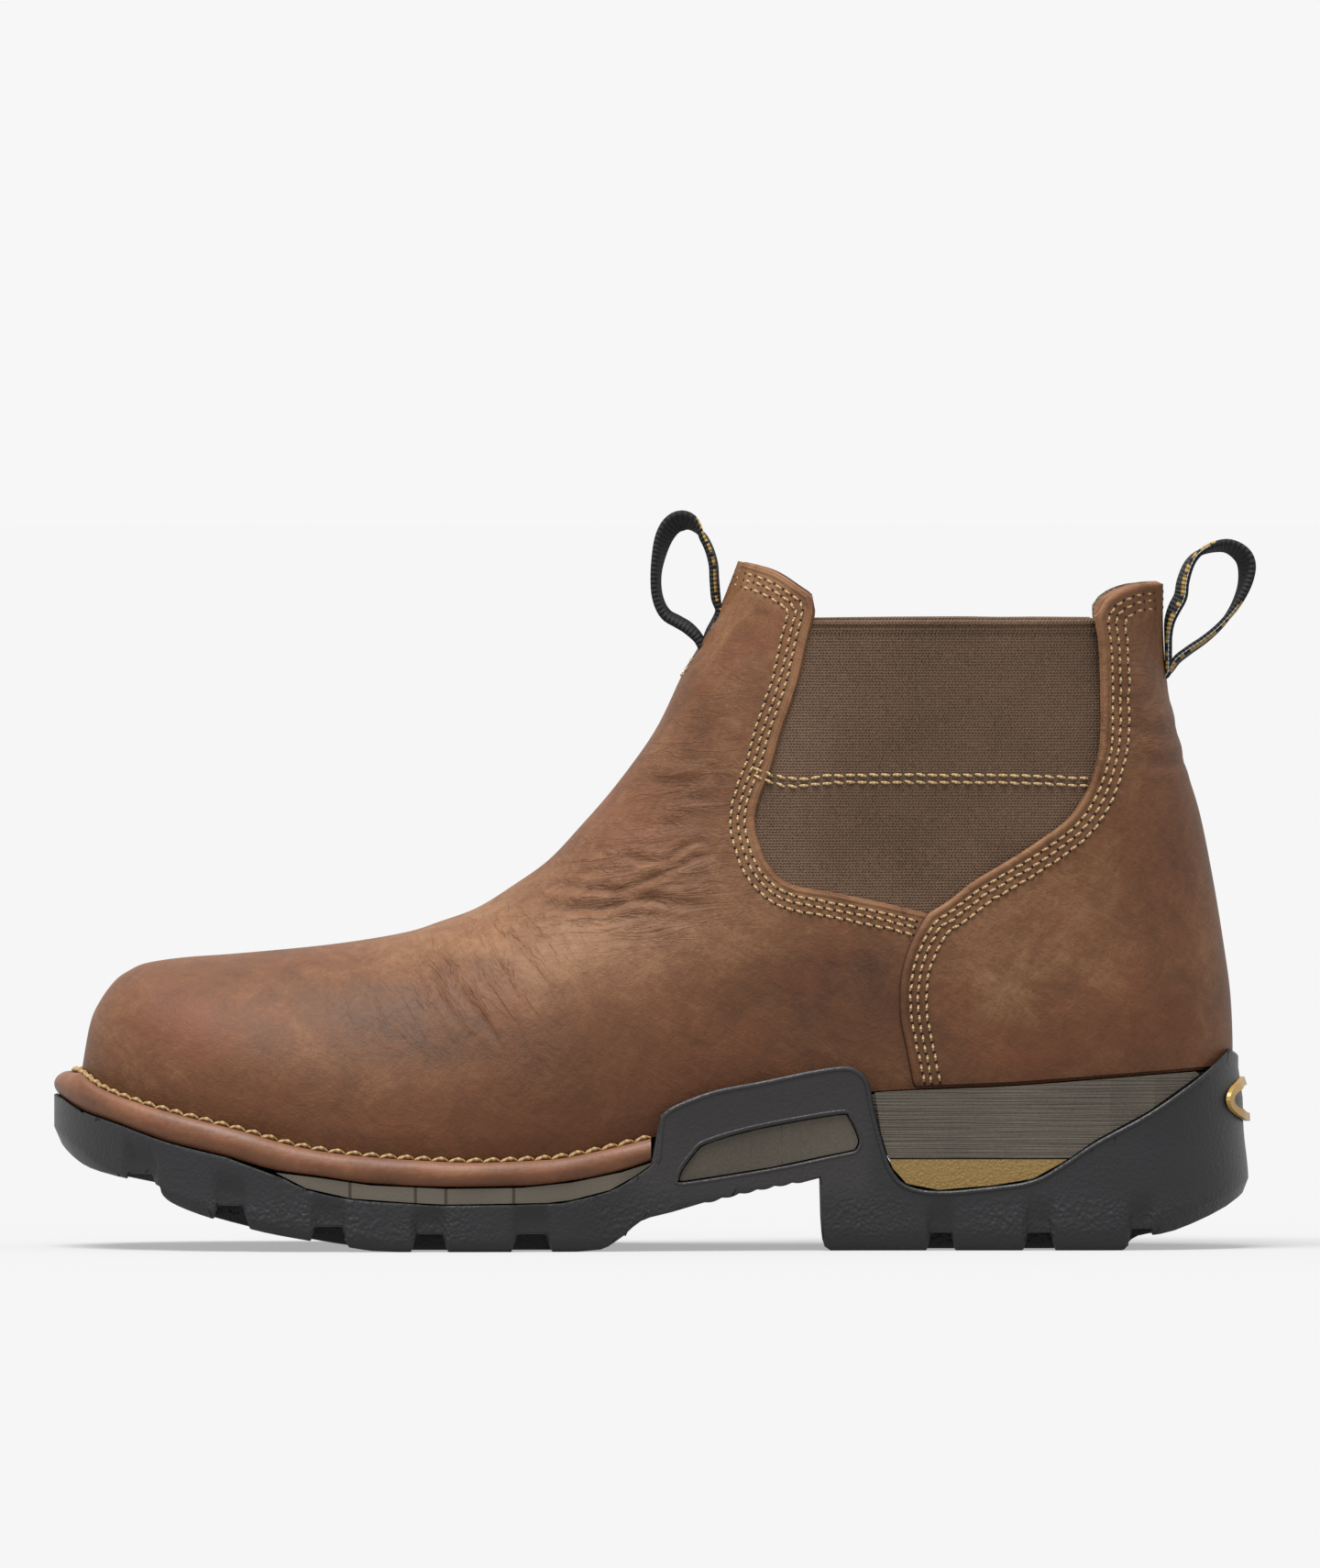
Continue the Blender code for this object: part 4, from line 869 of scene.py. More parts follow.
# back quarter, a second layer of leather that wraps the heel
quarterLook = {"rows": 120, "columns": 90, "firstRow": 0.012, "lastRow": 0.9985, "tuck": 0.4}
quarterRows = quarterLook["firstRow"] + (quarterLook["lastRow"] - quarterLook["firstRow"]) * evenSteps(
    rowWeight, quarterLook["rows"])
quarterShares = 0.5 + 0.5 * evenSteps(lambda s: 1 / np.sqrt(1.03 - s), quarterLook["columns"])
strip = []
for row in quarterRows:
    x, z = ringPoints(row, quarterShares)
    outerRun = np.stack([x, upperY(x, z, -1), z], axis=1)
    innerRun = np.stack([x, upperY(x, z, 1), z], axis=1)[:-1]
    strip.append(np.concatenate([outerRun, innerRun[::-1]]))
strip = np.array(strip)
stripNormals = gridNormals(strip, closed=False)
lift = creaseLift(strip)[..., None]
cover = strip + stripNormals * (boot["quarterStep"] + lift)
under = strip - stripNormals * (boot["wall"] * quarterLook["tuck"] - lift)
rows, columns = strip.shape[:2]
base = rows * columns
sheet = gridFaces(rows, columns, False)
faces = sheet + [tuple(base + i for i in f[::-1]) for f in sheet]
rim = [r * columns for r in range(rows)] + [(rows - 1) * columns + c for c in range(1, columns)]
rim += [r * columns + columns - 1 for r in range(rows - 2, -1, -1)] + list(range(columns - 2, 0, -1))
faces += [(a, b, base + b, base + a) for a, b in zip(rim, rim[1:] + rim[:1])]
quarterPoints = np.concatenate([cover.reshape(-1, 3), under.reshape(-1, 3)])
quarter = tidyNormals(newObject('backQuarter', quarterPoints, faces))
quarterTree = BVHTree.FromPolygons([Vector(p) for p in cover.reshape(-1, 3)], sheet)
high = 1.1 * boot["shaftHeight"]
quarterPlate = [(seamOutline[0][0], 0.02)] + list(seamOutline) + [
    (sideX(0.215), 0.65 * boot["shaftHeight"]), (sideX(0.18), high), (0.09, high), (0.09, 0.02)]
cut(quarter, plateObject('quarterPlate', quarterPlate), 'INTERSECT')
cut(quarter, plateObject('goreOpening', opening))
coat(quarter, leather)
dressLeather(quarter)
smoothShade(quarter, 50)
place(quarter, "upper_leather")
print("back quarter:", len(quarter.data.polygons), "faces")


# sewing
def surfaceAt(points, side, tree, lift=0.0):   # side-view points laid on the leather
    pts = np.array(points, dtype=float)
    guess = np.stack([pts[:, 0], upperY(pts[:, 0], pts[:, 1], side), pts[:, 1]], axis=1)
    places, normals = [], []
    for p in guess:
        spot, normal, _, _ = tree.find_nearest(Vector(p))
        places.append(np.array(spot) + np.array(normal) * lift)
        normals.append(np.array(normal))
    return np.array(places), np.array(normals)


def evenRun(points, pitch):           # a line walked in equal steps
    pts = np.array(points, dtype=float)
    run = np.concatenate([[0.0], np.cumsum(np.linalg.norm(np.diff(pts, axis=0), axis=1))])
    count = max(int(run[-1] / pitch), 2)
    return np.stack([np.interp(np.linspace(0, run[-1], count + 1), run, pts[:, k])
                     for k in range(pts.shape[1])], axis=1)


def rightOffset(points, distance):    # a side-view line moved to its right, without its loops
    pts = evenRun(points, 0.0006)
    along = np.gradient(pts, axis=0)
    along = along / np.linalg.norm(along, axis=1)[:, None]
    moved = pts + np.stack([along[:, 1], -along[:, 0]], axis=1) * distance
    base = Curve(pts)
    keep = base.distance(moved[:, 0], moved[:, 1]) > abs(distance) * 0.97
    return moved[keep]


# gore panels, their rims tucked into the leather's wall
goreLook = {"thickness": 0.0015, "tuck": 0.0012, "rows": 70, "columns": 150, "rollWidth": 0.0010,
            "rollRadius": 0.0009, "rollRise": 0.0006, "toothPitch": 0.00095, "toothHeight": 0.0017,
            "toothDrop": 0.0014}
goreShares = evenSteps(lambda s: 1 / np.sqrt(s * (1 - s) + 0.02), goreLook["columns"])
goreGrid = upperGrid(np.linspace(0.3, 1.0, goreLook["rows"] + 1), goreShares, goreShares)
goreNormals = gridNormals(goreGrid)
panelOutline = [(x, min(z, goreTopLine)) for x, z in rightOffset(goreOutline, goreLook["tuck"])]
for panelName, name, side in (('elasticOuter', 'gore_lateral', -1), ('elasticInner', 'gore_medial', 1)):
    shell = goreGrid - goreNormals * boot["goreRecess"]
    inner = goreGrid - goreNormals * (boot["goreRecess"] + goreLook["thickness"])
    rings = np.concatenate([shell, inner[::-1]])
    count, columns = rings.shape[:2]
    faces = gridFaces(count, columns)
    faces += [((count - 1) * columns + c, (count - 1) * columns + (c + 1) % columns, (c + 1) % columns, c)
              for c in range(columns)]
    panel = tidyNormals(newObject(panelName, rings.reshape(-1, 3), faces))
    lowY, highY = (-0.1, 0.0) if side < 0 else (0.0, 0.1)
    cut(panel, plateObject('gorePlate', panelOutline, lowY, highY), 'INTERSECT')
    coat(panel, gore)
    smoothShade(panel, 40)
    place(panel, "gore_elastic", name)
print("gore panels made")


def stitchShape():                    # one short stitch along x, its ends dipping in
    bpy.ops.mesh.primitive_uv_sphere_add(segments=6, ring_count=6, radius=1.0)
    ball = bpy.context.active_object
    bpy.ops.object.mode_set(mode='EDIT')
    bpy.ops.mesh.select_all(action='SELECT')
    bpy.ops.transform.rotate(value=math.radians(90), orient_axis='Y', center_override=(0, 0, 0))
    bpy.ops.object.mode_set(mode='OBJECT')
    points = np.array([v.co for v in ball.data.vertices])
    faces = [tuple(f.vertices) for f in ball.data.polygons]
    bpy.data.objects.remove(ball, do_unlink=True)
    return points, faces


stitchPoints, stitchFaces = stitchShape()


def copies(name, frames, size, finish, bend=0.0):   # one mesh of many copies, each with its own frame
    points, faces, along = [], [], []
    for centre, x, y, z in frames:
        base = len(points)
        for p in stitchPoints:
            dip = bend * p[0] * p[0]
            q = centre + x * p[0] * size[0] + y * p[1] * size[1] + z * (p[2] * size[2] - dip)
            points.append(q)
            along.append(p[0] * 0.5 + 0.5)
        faces += [tuple(base + i for i in f) for f in stitchFaces]
    thing = newObject(name, points, faces)
    setAttribute(thing, 'along', along)
    thing.data.materials.append(finish)
    makeActive(thing)
    bpy.ops.object.shade_smooth()
    return thing


chance = np.random.default_rng(11)


def framesAlong(places, normals, slant=0.0):   # a frame between each two places, a little uneven
    frames = []
    for a, b, n, m in zip(places, places[1:], normals, normals[1:]):
        x = (b - a) / np.linalg.norm(b - a)
        z = n + m
        z = z - x * (z @ x)
        z = z / np.linalg.norm(z)
        y = np.cross(z, x)
        turn = slant + chance.normal(0.0, 0.07)
        x, y = x * math.cos(turn) + y * math.sin(turn), y * math.cos(turn) - x * math.sin(turn)
        frames.append(((a + b) / 2 + y * chance.normal(0.0, 0.00007), x, y, z))
    return frames


sewLook = {"pitch": 0.0026, "length": 0.00104, "radius": 0.00034, "rise": 0.00022, "dip": 0.00032,
           "slant": 0.10, "hole": 0.00042, "holeHeight": 0.00012, "holeLift": 0.00003,
           "frontRows": (0.0024, 0.0041, 0.0060), "backRows": (0.0024, 0.0043, 0.0064),
           # the box under the front loop: across the boot and up, in mm
           "box": [(-5.5, 152.0), (-5.5, 149.8), (-5.5, 147.4), (-2.8, 147.2), (0.0, 147.2), (2.8, 147.2),
                   (5.5, 147.4), (5.5, 149.8), (5.5, 152.0)]}
topRing = skin[-1][:upperLook["columns"] + 1]
collarFront = [(p[0], p[2]) for p in topRing if p[0] < goreOutline[0][0] - 0.0008]
collarBack = [(p[0], p[2]) for p in topRing if p[0] > goreOutline[-1][0] + 0.0012]
tip = int(np.argmin(goreOutline[:, 1]))
frontPath = np.array(collarFront + [tuple(p) for p in goreOutline[:tip + 1]])
backPath = np.array([tuple(p) for p in seamOutline] + [tuple(p) for p in goreOutline[tip + 1:]] + collarBack)


def seamX(z):
    return np.interp(z, seamOutline[:, 1], seamOutline[:, 0])


def sewRow(places, normals, side):
    stitchFrames.extend(framesAlong(places, normals, sewLook["slant"] * side))
    holeFrames.extend((p, np.array([1.0, 0, 0]), np.array([0, 0, 1.0]), n) for p, n in zip(places, normals))


stitchFrames, holeFrames = [], []
for side in (-1, 1):
    for distance in sewLook["frontRows"]:
        line = evenRun(rightOffset(frontPath, distance), sewLook["pitch"])
        line = line[(line[:, 0] < seamX(line[:, 1]) - 0.0006) | (line[:, 1] > goreOutline[tip][1])]
        sewRow(*surfaceAt(line, side, bodyTree), side)
    for distance in sewLook["backRows"]:
        line = rightOffset(backPath, distance)
        line = line[line[:, 1] > featherZ(line[:, 0]) + 0.001]
        sewRow(*surfaceAt(evenRun(line, sewLook["pitch"]), side, quarterTree), side)


def facing(frames, lift):             # frames turned so that their z is the leather's own normal
    turned = []
    for centre, x, _, n in frames:
        y = np.cross(n, x)
        if np.linalg.norm(y) < 0.2:
            y = np.cross(n, np.array([0, 0, 1.0]))
        y = y / np.linalg.norm(y)
        turned.append((centre + n * lift, np.cross(y, n), y, n))
    return turned


hits = [bodyTree.ray_cast(Vector((-0.3, y * 0.001, z * 0.001)), Vector((1, 0, 0))) for y, z in sewLook["box"]]
stitchFrames += framesAlong([np.array(h[0]) for h in hits], [np.array(h[1]) for h in hits])

stitches = copies('edgeStitches', [(c + z * sewLook["rise"], x, y, z) for c, x, y, z in stitchFrames],
                  (sewLook["length"], sewLook["radius"], sewLook["radius"]), thread, sewLook["dip"])
place(stitches, "upper_leather")
holes = copies('needleHoles', facing(holeFrames, sewLook["holeLift"]),
               (sewLook["hole"], sewLook["hole"], sewLook["holeHeight"]), holeAndSeamShade)
place(holes, "upper_leather")

# the double row across the gore, which sags a little near its front end and rises onto the leather
goreRow = {"x": (-0.0612, 0.0288), "onGore": (-0.0580, 0.0262), "heights": (0.1219, 0.1200), "pitch": 0.0030,
           "sag": 0.0010, "sagPlace": -0.050, "frontRise": 0.0018, "backDrop": 0.0008, "slant": 0.12,
           "size": (0.00128, 0.00042, 0.00040), "rise": 0.0002, "dip": 0.00030}
goreFrames = []
for side in (-1, 1):
    for height in goreRow["heights"]:
        xs = np.linspace(*goreRow["x"], 60)
        sag = goreRow["sag"] * np.exp(-((xs - goreRow["sagPlace"]) / 0.006) ** 2)
        rise = goreRow["frontRise"] * smoothStep(-0.054, -0.0612, xs)
        drop = goreRow["backDrop"] * smoothStep(0.0, 0.03, xs)
        run = evenRun(np.stack([xs, height - sag + rise - drop], axis=1), goreRow["pitch"])
        places, normals = surfaceAt(run, side, bodyTree)
        inside = (run[:, 0] > goreRow["onGore"][0]) & (run[:, 0] < goreRow["onGore"][1])
        places = places - normals * np.where(inside, boot["goreRecess"], -0.0001)[:, None]
        goreFrames += framesAlong(places, normals, goreRow["slant"] * side)
goreStitches = copies('goreStitches', [(c + z * goreRow["rise"], x, y, z) for c, x, y, z in goreFrames],
                      goreRow["size"], thread, goreRow["dip"])
place(goreStitches, "gore_elastic")
print("stitches:", len(stitchFrames) + len(goreFrames))


def tube(name, centres, normals, across, deep, sides=10):
    along = np.gradient(centres, axis=0)
    along = along / np.linalg.norm(along, axis=1)[:, None]
    sideways = np.cross(along, normals)
    sideways = sideways / np.linalg.norm(sideways, axis=1)[:, None]
    up = np.cross(sideways, along)
    turn = np.linspace(0, 2 * math.pi, sides, endpoint=False)
    fade = np.ones(len(centres))
    fade[0], fade[-1] = 0.5, 0.5
    sections = centres[:, None, :] + fade[:, None, None] * (
        np.cos(turn)[None, :, None] * across * sideways[:, None, :]
        + np.sin(turn)[None, :, None] * deep * up[:, None, :])
    return sweepObject(name, sections)


def join(name, things):
    makeActive(things[0])
    for thing in things[1:]:
        thing.select_set(True)
    bpy.ops.object.join()
    things[0].name = name
    things[0].data.name = name
    return things[0]


edgeLook = {"inset": 0.0008, "step": 0.0012, "width": 0.00115, "frontDepth": 0.00128, "backDepth": 0.00095,
            "frontSink": 0.0011, "backSink": 0.0006, "overFeather": 0.0005}
edges = []
for side in (-1, 1):
    line = evenRun(rightOffset(frontPath, edgeLook["inset"]), edgeLook["step"])
    places, normals = surfaceAt(line, side, bodyTree, -edgeLook["frontSink"])
    edges.append(tube('edge', places, normals, edgeLook["width"], edgeLook["frontDepth"]))
    line = evenRun(rightOffset(backPath, edgeLook["inset"]), edgeLook["step"])
    line = line[line[:, 1] > featherZ(line[:, 0]) + edgeLook["overFeather"]]
    places, normals = surfaceAt(line, side, quarterTree, -edgeLook["backSink"])
    edges.append(tube('edge', places, normals, edgeLook["width"], edgeLook["backDepth"]))
edging = join('foldedEdges', edges)
coat(edging, leather)
dressLeather(edging)
smoothShade(edging, 60)
place(edging, "upper_leather")

# painted shade: a thin dark tube in front of the back quarter's seam, where the raised edge casts its shade
seamShadeLook = {"offset": -0.0002, "step": 0.0015, "lift": 0.0001, "width": 0.0004, "depth": 0.0003}
shadows = []
for side in (-1, 1):
    line = evenRun(rightOffset(seamOutline, seamShadeLook["offset"]), seamShadeLook["step"])
    line = line[line[:, 1] > featherZ(line[:, 0]) + edgeLook["overFeather"]]
    places, normals = surfaceAt(line, side, bodyTree, seamShadeLook["lift"])
    shadows.append(tube('seamShadeLine', places, normals, seamShadeLook["width"], seamShadeLook["depth"], 6))
seamShadeLine = join('seamShade', shadows)
# the needle holes' dark colour, used here as painted shade
coat(seamShadeLine, holeAndSeamShade)
place(seamShadeLine, "upper_leather")

# the gore's rolled top hem and the short threads under it
teeth, rolls = [], []
for side in (-1, 1):
    xs = np.linspace(goreOutline[0][0] - goreLook["tuck"], goreOutline[-1][0] + goreLook["tuck"], 60)
    line = np.stack([xs, np.full(60, goreTopLine + goreLook["rollRise"])], axis=1)
    places, normals = surfaceAt(line, side, bodyTree, -(boot["goreRecess"] + 0.0006))
    rolls.append(tube('roll', places, normals, goreLook["rollWidth"], goreLook["rollRadius"]))
    line = np.stack([xs, np.full(60, goreTopLine - goreLook["toothDrop"])], axis=1)
    run = evenRun(line, goreLook["toothPitch"])
    places, normals = surfaceAt(run, side, bodyTree, -boot["goreRecess"] + 0.00005)
    up = np.array([0, 0, 1.0])
    teeth += [(p, up - n * (up @ n), np.cross(n, up), n) for p, n in zip(places, normals)]
rolled = join('goreHem', rolls)
coat(rolled, gore)
smoothShade(rolled, 60)
place(rolled, "gore_elastic")
goreTeeth = copies('goreSelvage', teeth, (goreLook["toothHeight"] * 0.5, 0.00026, 0.00022), gore)
place(goreTeeth, "gore_elastic")
print("edges and hems made")


# sole
soleLook = {"columns": 400, "wingOver": 0.0045, "top": 0.010, "channelDepth": 0.0014, "channelTop": 0.0135,
            "channelFade": 0.006, "soft": 0.0011, "below": 0.003}
heelX = backPoints[0][0]
columnShares = evenSteps(lambda s: 0.6 + 0.5 / np.sqrt(s * (1 - s) + 0.0005), soleLook["columns"])
xs = toeX + (heelX - toeX) * columnShares
outerRun = np.stack([xs, upperY(xs, featherZ(xs), -1)], axis=1)
innerRun = np.stack([xs, upperY(xs, featherZ(xs), 1)], axis=1)[1:-1]
feather = np.concatenate([outerRun, innerRun[::-1]])
after = np.roll(feather, -1, axis=0) - np.roll(feather, 1, axis=0)
featherOut = np.stack([after[:, 1], -after[:, 0]], axis=1)
featherOut = featherOut / np.linalg.norm(featherOut, axis=1)[:, None]
ledge = boot["weltWidth"] * ledgeShare(lengthShare(feather[:, 0]))


def channelDepth(x, z):               # soft channels in the side wall, above the grooves between the lugs
    depth = 0.0
    for share, width in foreGrooves + heelGrooves:
        off = abs(x - sideX(share)) - 0.42 * width * boot["soleLength"]
        depth = max(depth, 1 - float(smoothStep(-soleLook["soft"], soleLook["soft"], off)))
    top = soleLook["channelTop"]
    fade = 1 - float(smoothStep(top - soleLook["channelFade"], top, z - groundZ(x)))
    return soleLook["channelDepth"] * depth * fade


def soleRing(height, backOff=0.0, channels=False):   # sole outline at a height, moved inwards by backOff
    skinGap = boot["solidStep"] + 2 * boot["gap"]
    wallLeft = boot["wingWall"] - backOff
    ring = []
    for point, out, width in zip(feather, featherOut, ledge):
        reach = width - backOff
        x, y = point + out * reach
        z = float(height(x))
        if channels:
            reach -= channelDepth(x, z)
            x, y = point + out * reach
        heelPart = 1 - smoothStep(0.0, 0.30, lengthShare(x))
        lean = boot["weltWidth"] * leanShare(z / boot["heelHeight"]) * heelPart
        if z > featherZ(x) - 0.001 and point[0] > sideX(0.6):
            x = point[0] + out[0] * max(reach - lean, skinGap + boot["cupThinning"] * wallLeft)
            side = -1 if y < centreY(x) else 1
            wall = abs(float(upperY(x, z, side))) + skinGap + wallLeft
            y = side * max(abs(y), wall) if abs(y) > boot["wingWall"] else y
        else:
            x -= lean
        ring.append((float(x), float(y), z))
    return ring


def soleStack(name, low, levels, backOff=0.0, lowInset=0.0, channels=False):
    rings = [soleRing(low, backOff + lowInset, channels)]
    rings += [soleRing(level, backOff, channels) for level in levels]
    return stackObject(name, rings)


def atShare(share):
    return lambda x: groundZ(x) + (featherZ(x) - groundZ(x)) * share


def overFeather(height):
    return lambda x: featherZ(x) + height


soleLevels = [atShare(0.09 + 0.066 * k) for k in range(11)] + [
    featherZ, overFeather(soleLook["wingOver"]), overFeather(soleLook["top"])]
toeRim = [(1.016, 0.929)] + weltFoot[:5]
scallop = {"from": 0.468, "to": 0.368, "pitch": 0.0045, "height": 0.00045}
tread = softOutline(solePoints(treadLine), 3)
onArch = (tread[:, 0] > sideX(scallop["from"])) & (tread[:, 0] < sideX(scallop["to"])) & (tread[:, 1] > 0.004)
firstArch, lastArch = np.flatnonzero(onArch)[[0, -1]]
archX = np.linspace(tread[firstArch, 0], tread[lastArch, 0], 90)
archZ = np.interp(archX, tread[firstArch:lastArch + 1, 0], tread[firstArch:lastArch + 1, 1])
archZ = archZ - scallop["height"] * np.abs(np.sin(np.pi * (archX - archX[0]) / scallop["pitch"]))
tread = np.concatenate([tread[:firstArch], np.stack([archX, archZ], axis=1), tread[lastArch + 1:]])
blackOutline = np.concatenate([tread[:-1],
                               softOutline(solePoints(wingEdge[::-1]), 3)[:-1],
                               softOutline(solePoints(bandFoot[::-1]), 3)[:-1],
                               softOutline(solePoints(toeRim[::-1]), 3)])
outsole = soleStack('outsoleRubber', lambda x: groundZ(x) - soleLook["below"], soleLevels,
                    lowInset=soleLook["below"], channels=True)
cut(outsole, plateObject('blackPlate', blackOutline), 'INTERSECT')
hollowTable = list(zip(*sorted(hollowFloor)))
hollow = soleStack('soleHollow', lambda x: boot["heelHeight"] * np.interp(lengthShare(x), *hollowTable),
                   [featherZ, overFeather(soleLook["wingOver"]), overFeather(soleLook["top"] + 0.002)],
                   boot["wingWall"])
hollowFront, hollowBack = sideX(0.60), sideX(-0.1)
cut(hollow, plateObject('hollowPlate', [(hollowFront, 0.0), (hollowBack, 0.0), (hollowBack, 0.1),
                                        (hollowFront, 0.1)]), 'INTERSECT')
cut(outsole, hollow)

lug = {"depth": 0.0046, "reach": 0.024, "taper": 0.70, "flare": 1.12, "round": 0.00045, "middleGap": 0.004,
       "middleHalf": 0.0025}
edgeRing = soleRing(groundZ)
edgeLines = {side: sorted((x, side * y) for x, y, _ in edgeRing if side * y > 0) for side in (-1, 1)}
grooves = []                          # x, half width, y from and to, ceiling
for share, width in foreGrooves + heelGrooves:
    x = sideX(share)
    for side in (-1, 1):
        edge = np.interp(x, *zip(*edgeLines[side]))
        span = sorted((side * (edge - lug["reach"]), side * (edge + 0.01)))
        grooves.append((x, 0.5 * width * boot["soleLength"], *span, float(groundZ(x)) + lug["depth"]))
for share in centreGrooves:
    x = sideX(share)
    low, highEdge = (np.interp(x, *zip(*edgeLines[side])) for side in (-1, 1))
    inset = lug["reach"] + lug["middleGap"]
    grooves.append((x, lug["middleHalf"], inset - low, highEdge - inset, float(groundZ(x)) + lug["depth"]))
cut(outsole, wedgesObject('treadGrooves', grooves, lug["taper"], lug["flare"]))
cleanObject(outsole, 0.00012)
makeActive(outsole)
edgeRound = outsole.modifiers.new('roundedEdges', 'BEVEL')
edgeRound.width, edgeRound.segments, edgeRound.limit_method = lug["round"], 2, 'ANGLE'
edgeRound.angle_limit = math.radians(40)
edgeRound.use_clamp_overlap = False
bpy.ops.object.modifier_apply(modifier=edgeRound.name)
for vertex in outsole.data.vertices:
    vertex.co.z = max(vertex.co.z, 0.0)                   # the lugs stand on the floor
windowOutline = softOutline(solePoints(windowEdge + windowEdge[:1]), 4, 60.0)[:-1]
cut(outsole, plateObject('windowPlate', windowOutline))   # after the bevel, so that its thin tip stays open
coat(outsole, rubber)
smoothShade(outsole, 32)
place(outsole, "black_rubber", "outsole")
print("outsole:", len(outsole.data.polygons), "faces")

# taupe panels that fill the windows
panelLook = {"recess": 0.0007, "gap": 0.0004, "thickness": 0.0018, "base": 0.004}
closed = np.concatenate([windowOutline, windowOutline[:1]])
panels = soleStack('windowPanels', lambda x: groundZ(x) + panelLook["base"], soleLevels[3:-1],
                   panelLook["recess"])
cut(panels, plateObject('panelPlate', rightOffset(closed, panelLook["gap"])), 'INTERSECT')
cut(panels, soleStack('panelBack', lambda x: groundZ(x) + 0.5 * panelLook["base"], soleLevels[2:],
                      panelLook["recess"] + panelLook["thickness"]))
coat(panels, foam)
cleanObject(panels)
smoothShade(panels, 40)
place(panels, "taupe_midsole")

# a fine bead along the wing's edge and round its windows
soleTree = BVHTree.FromPolygons([v.co.copy() for v in outsole.data.vertices],
                                [tuple(f.vertices) for f in outsole.data.polygons])


def onSole(line, side):
    places, normals = [], []
    for x, z in line:
        spot, normal, _, _ = soleTree.ray_cast(Vector((x, side * 0.2, z)), Vector((0, -side, 0)))
        if spot is not None and spot.y * side > 0.02:
            places.append(np.array(spot) - np.array(normal) * 0.0002)
            normals.append(np.array(normal))
    return np.array(places), np.array(normals)


beadLook = {"step": 0.0012, "wing": (0.0007, 0.00065, 0.00055), "window": (-0.0006, 0.0005, 0.0004)}
beads = []
wingRun = softOutline(solePoints(wingEdge[:22]), 4)
for side in (-1, 1):
    for line, (offset, width, depth) in ((wingRun, beadLook["wing"]), (closed, beadLook["window"])):
        places, normals = onSole(evenRun(rightOffset(line, offset), beadLook["step"]), side)
        beads.append(tube('bead', places, normals, width, depth, 8))
wingBeads = join('wingBeads', beads)
coat(wingBeads, rubber)
smoothShade(wingBeads, 60)
place(wingBeads, "black_rubber")

for name, finish in (('midsole', foam), ('heel_insert', insert), ('insole', footbed), ('heel_badge', gold)):
    coat(nodes[name], finish)

# welt, a rounded leather band from wing to wing
weltLook = {"lap": 0.85, "last": 0.501,
            # its rounded section: how far in from its outer edge, and share of its height
            "section": [(0.0014, 0.0), (0.0004, 0.16), (0.0, 0.42), (0.0002, 0.62), (0.0010, 0.84),
                        (0.0024, 1.0), (0.0038, 1.0), (0.0047, 0.90)]}


def weltRun():
    last = sideX(weltLook["last"])
    items = list(zip(feather, featherOut, ledge))
    half = len(items) // 2
    run = [item for item in items[half + 1:] + items[:half] if item[0][0] < last - 0.001]

    def end(a, b):
        t = (last - a[0][0]) / (b[0][0] - a[0][0])
        return tuple(u + (v - u) * t for u, v in zip(a, b))
    innerEnd = next(end(a, b) for a, b in zip(items[::-1], items[::-1][1:]) if b[0][0] > last)
    outerEnd = next(end(a, b) for a, b in zip(items, items[1:]) if b[0][0] > last)
    return [innerEnd] + run + [outerEnd]


def weltPoint(item, distance, share):
    point, out, _ = item
    x, y = point + out * distance
    low = boot["heelHeight"] * float(weltShare(lengthShare(x))) + boot["gap"]
    high = float(featherZ(x)) - boot["gap"]
    return np.array((x, y, low + (high - low) * share))


weltItems = weltRun()
sections = []
for item in weltItems:
    lap = -weltLook["lap"] * boot["weltWidth"]
    profile = [(item[2] - inset, share) for inset, share in weltLook["section"]] + [(0.0004, 0.88)]
    rows = [(lap, 0.0)] + [tuple(p) for p in spline(profile, 3)] + [(lap, 0.95)]
    sections.append([weltPoint(item, distance, share) for distance, share in rows])
welt = sweepObject('weltBand', sections)
welt.data.materials.append(weltLeather)
smoothShade(welt, 50)
place(welt, "welt_leather", "welt")

ropeLook = {"pitch": 0.0044, "length": 0.0021, "radius": 0.00064, "place": 0.22, "slant": 0.26, "dip": 0.0007}
ropeLine = np.array([weltPoint(item, item[2] * ropeLook["place"], 1.0) for item in weltItems])
ropeLine = evenRun(ropeLine, ropeLook["pitch"])
up = np.tile(np.array([0, 0, 1.0]), (len(ropeLine), 1))
strands = []                          # two strands to each stitch
for centre, x, y, z in framesAlong(ropeLine, up, ropeLook["slant"]):
    strands.append((centre + y * 0.00050 + z * 0.0006, x, y, z))
    strands.append((centre - y * 0.00040 + x * 0.0004 + z * 0.0008, x, y, z))
ropeStitches = copies('weltStitches', strands, (ropeLook["length"], ropeLook["radius"], ropeLook["radius"]),
                      rope, ropeLook["dip"])
place(ropeStitches, "welt_leather")
print("welt made")


# pull loops
loopLook = {"width": 0.013, "thickness": 0.0017}
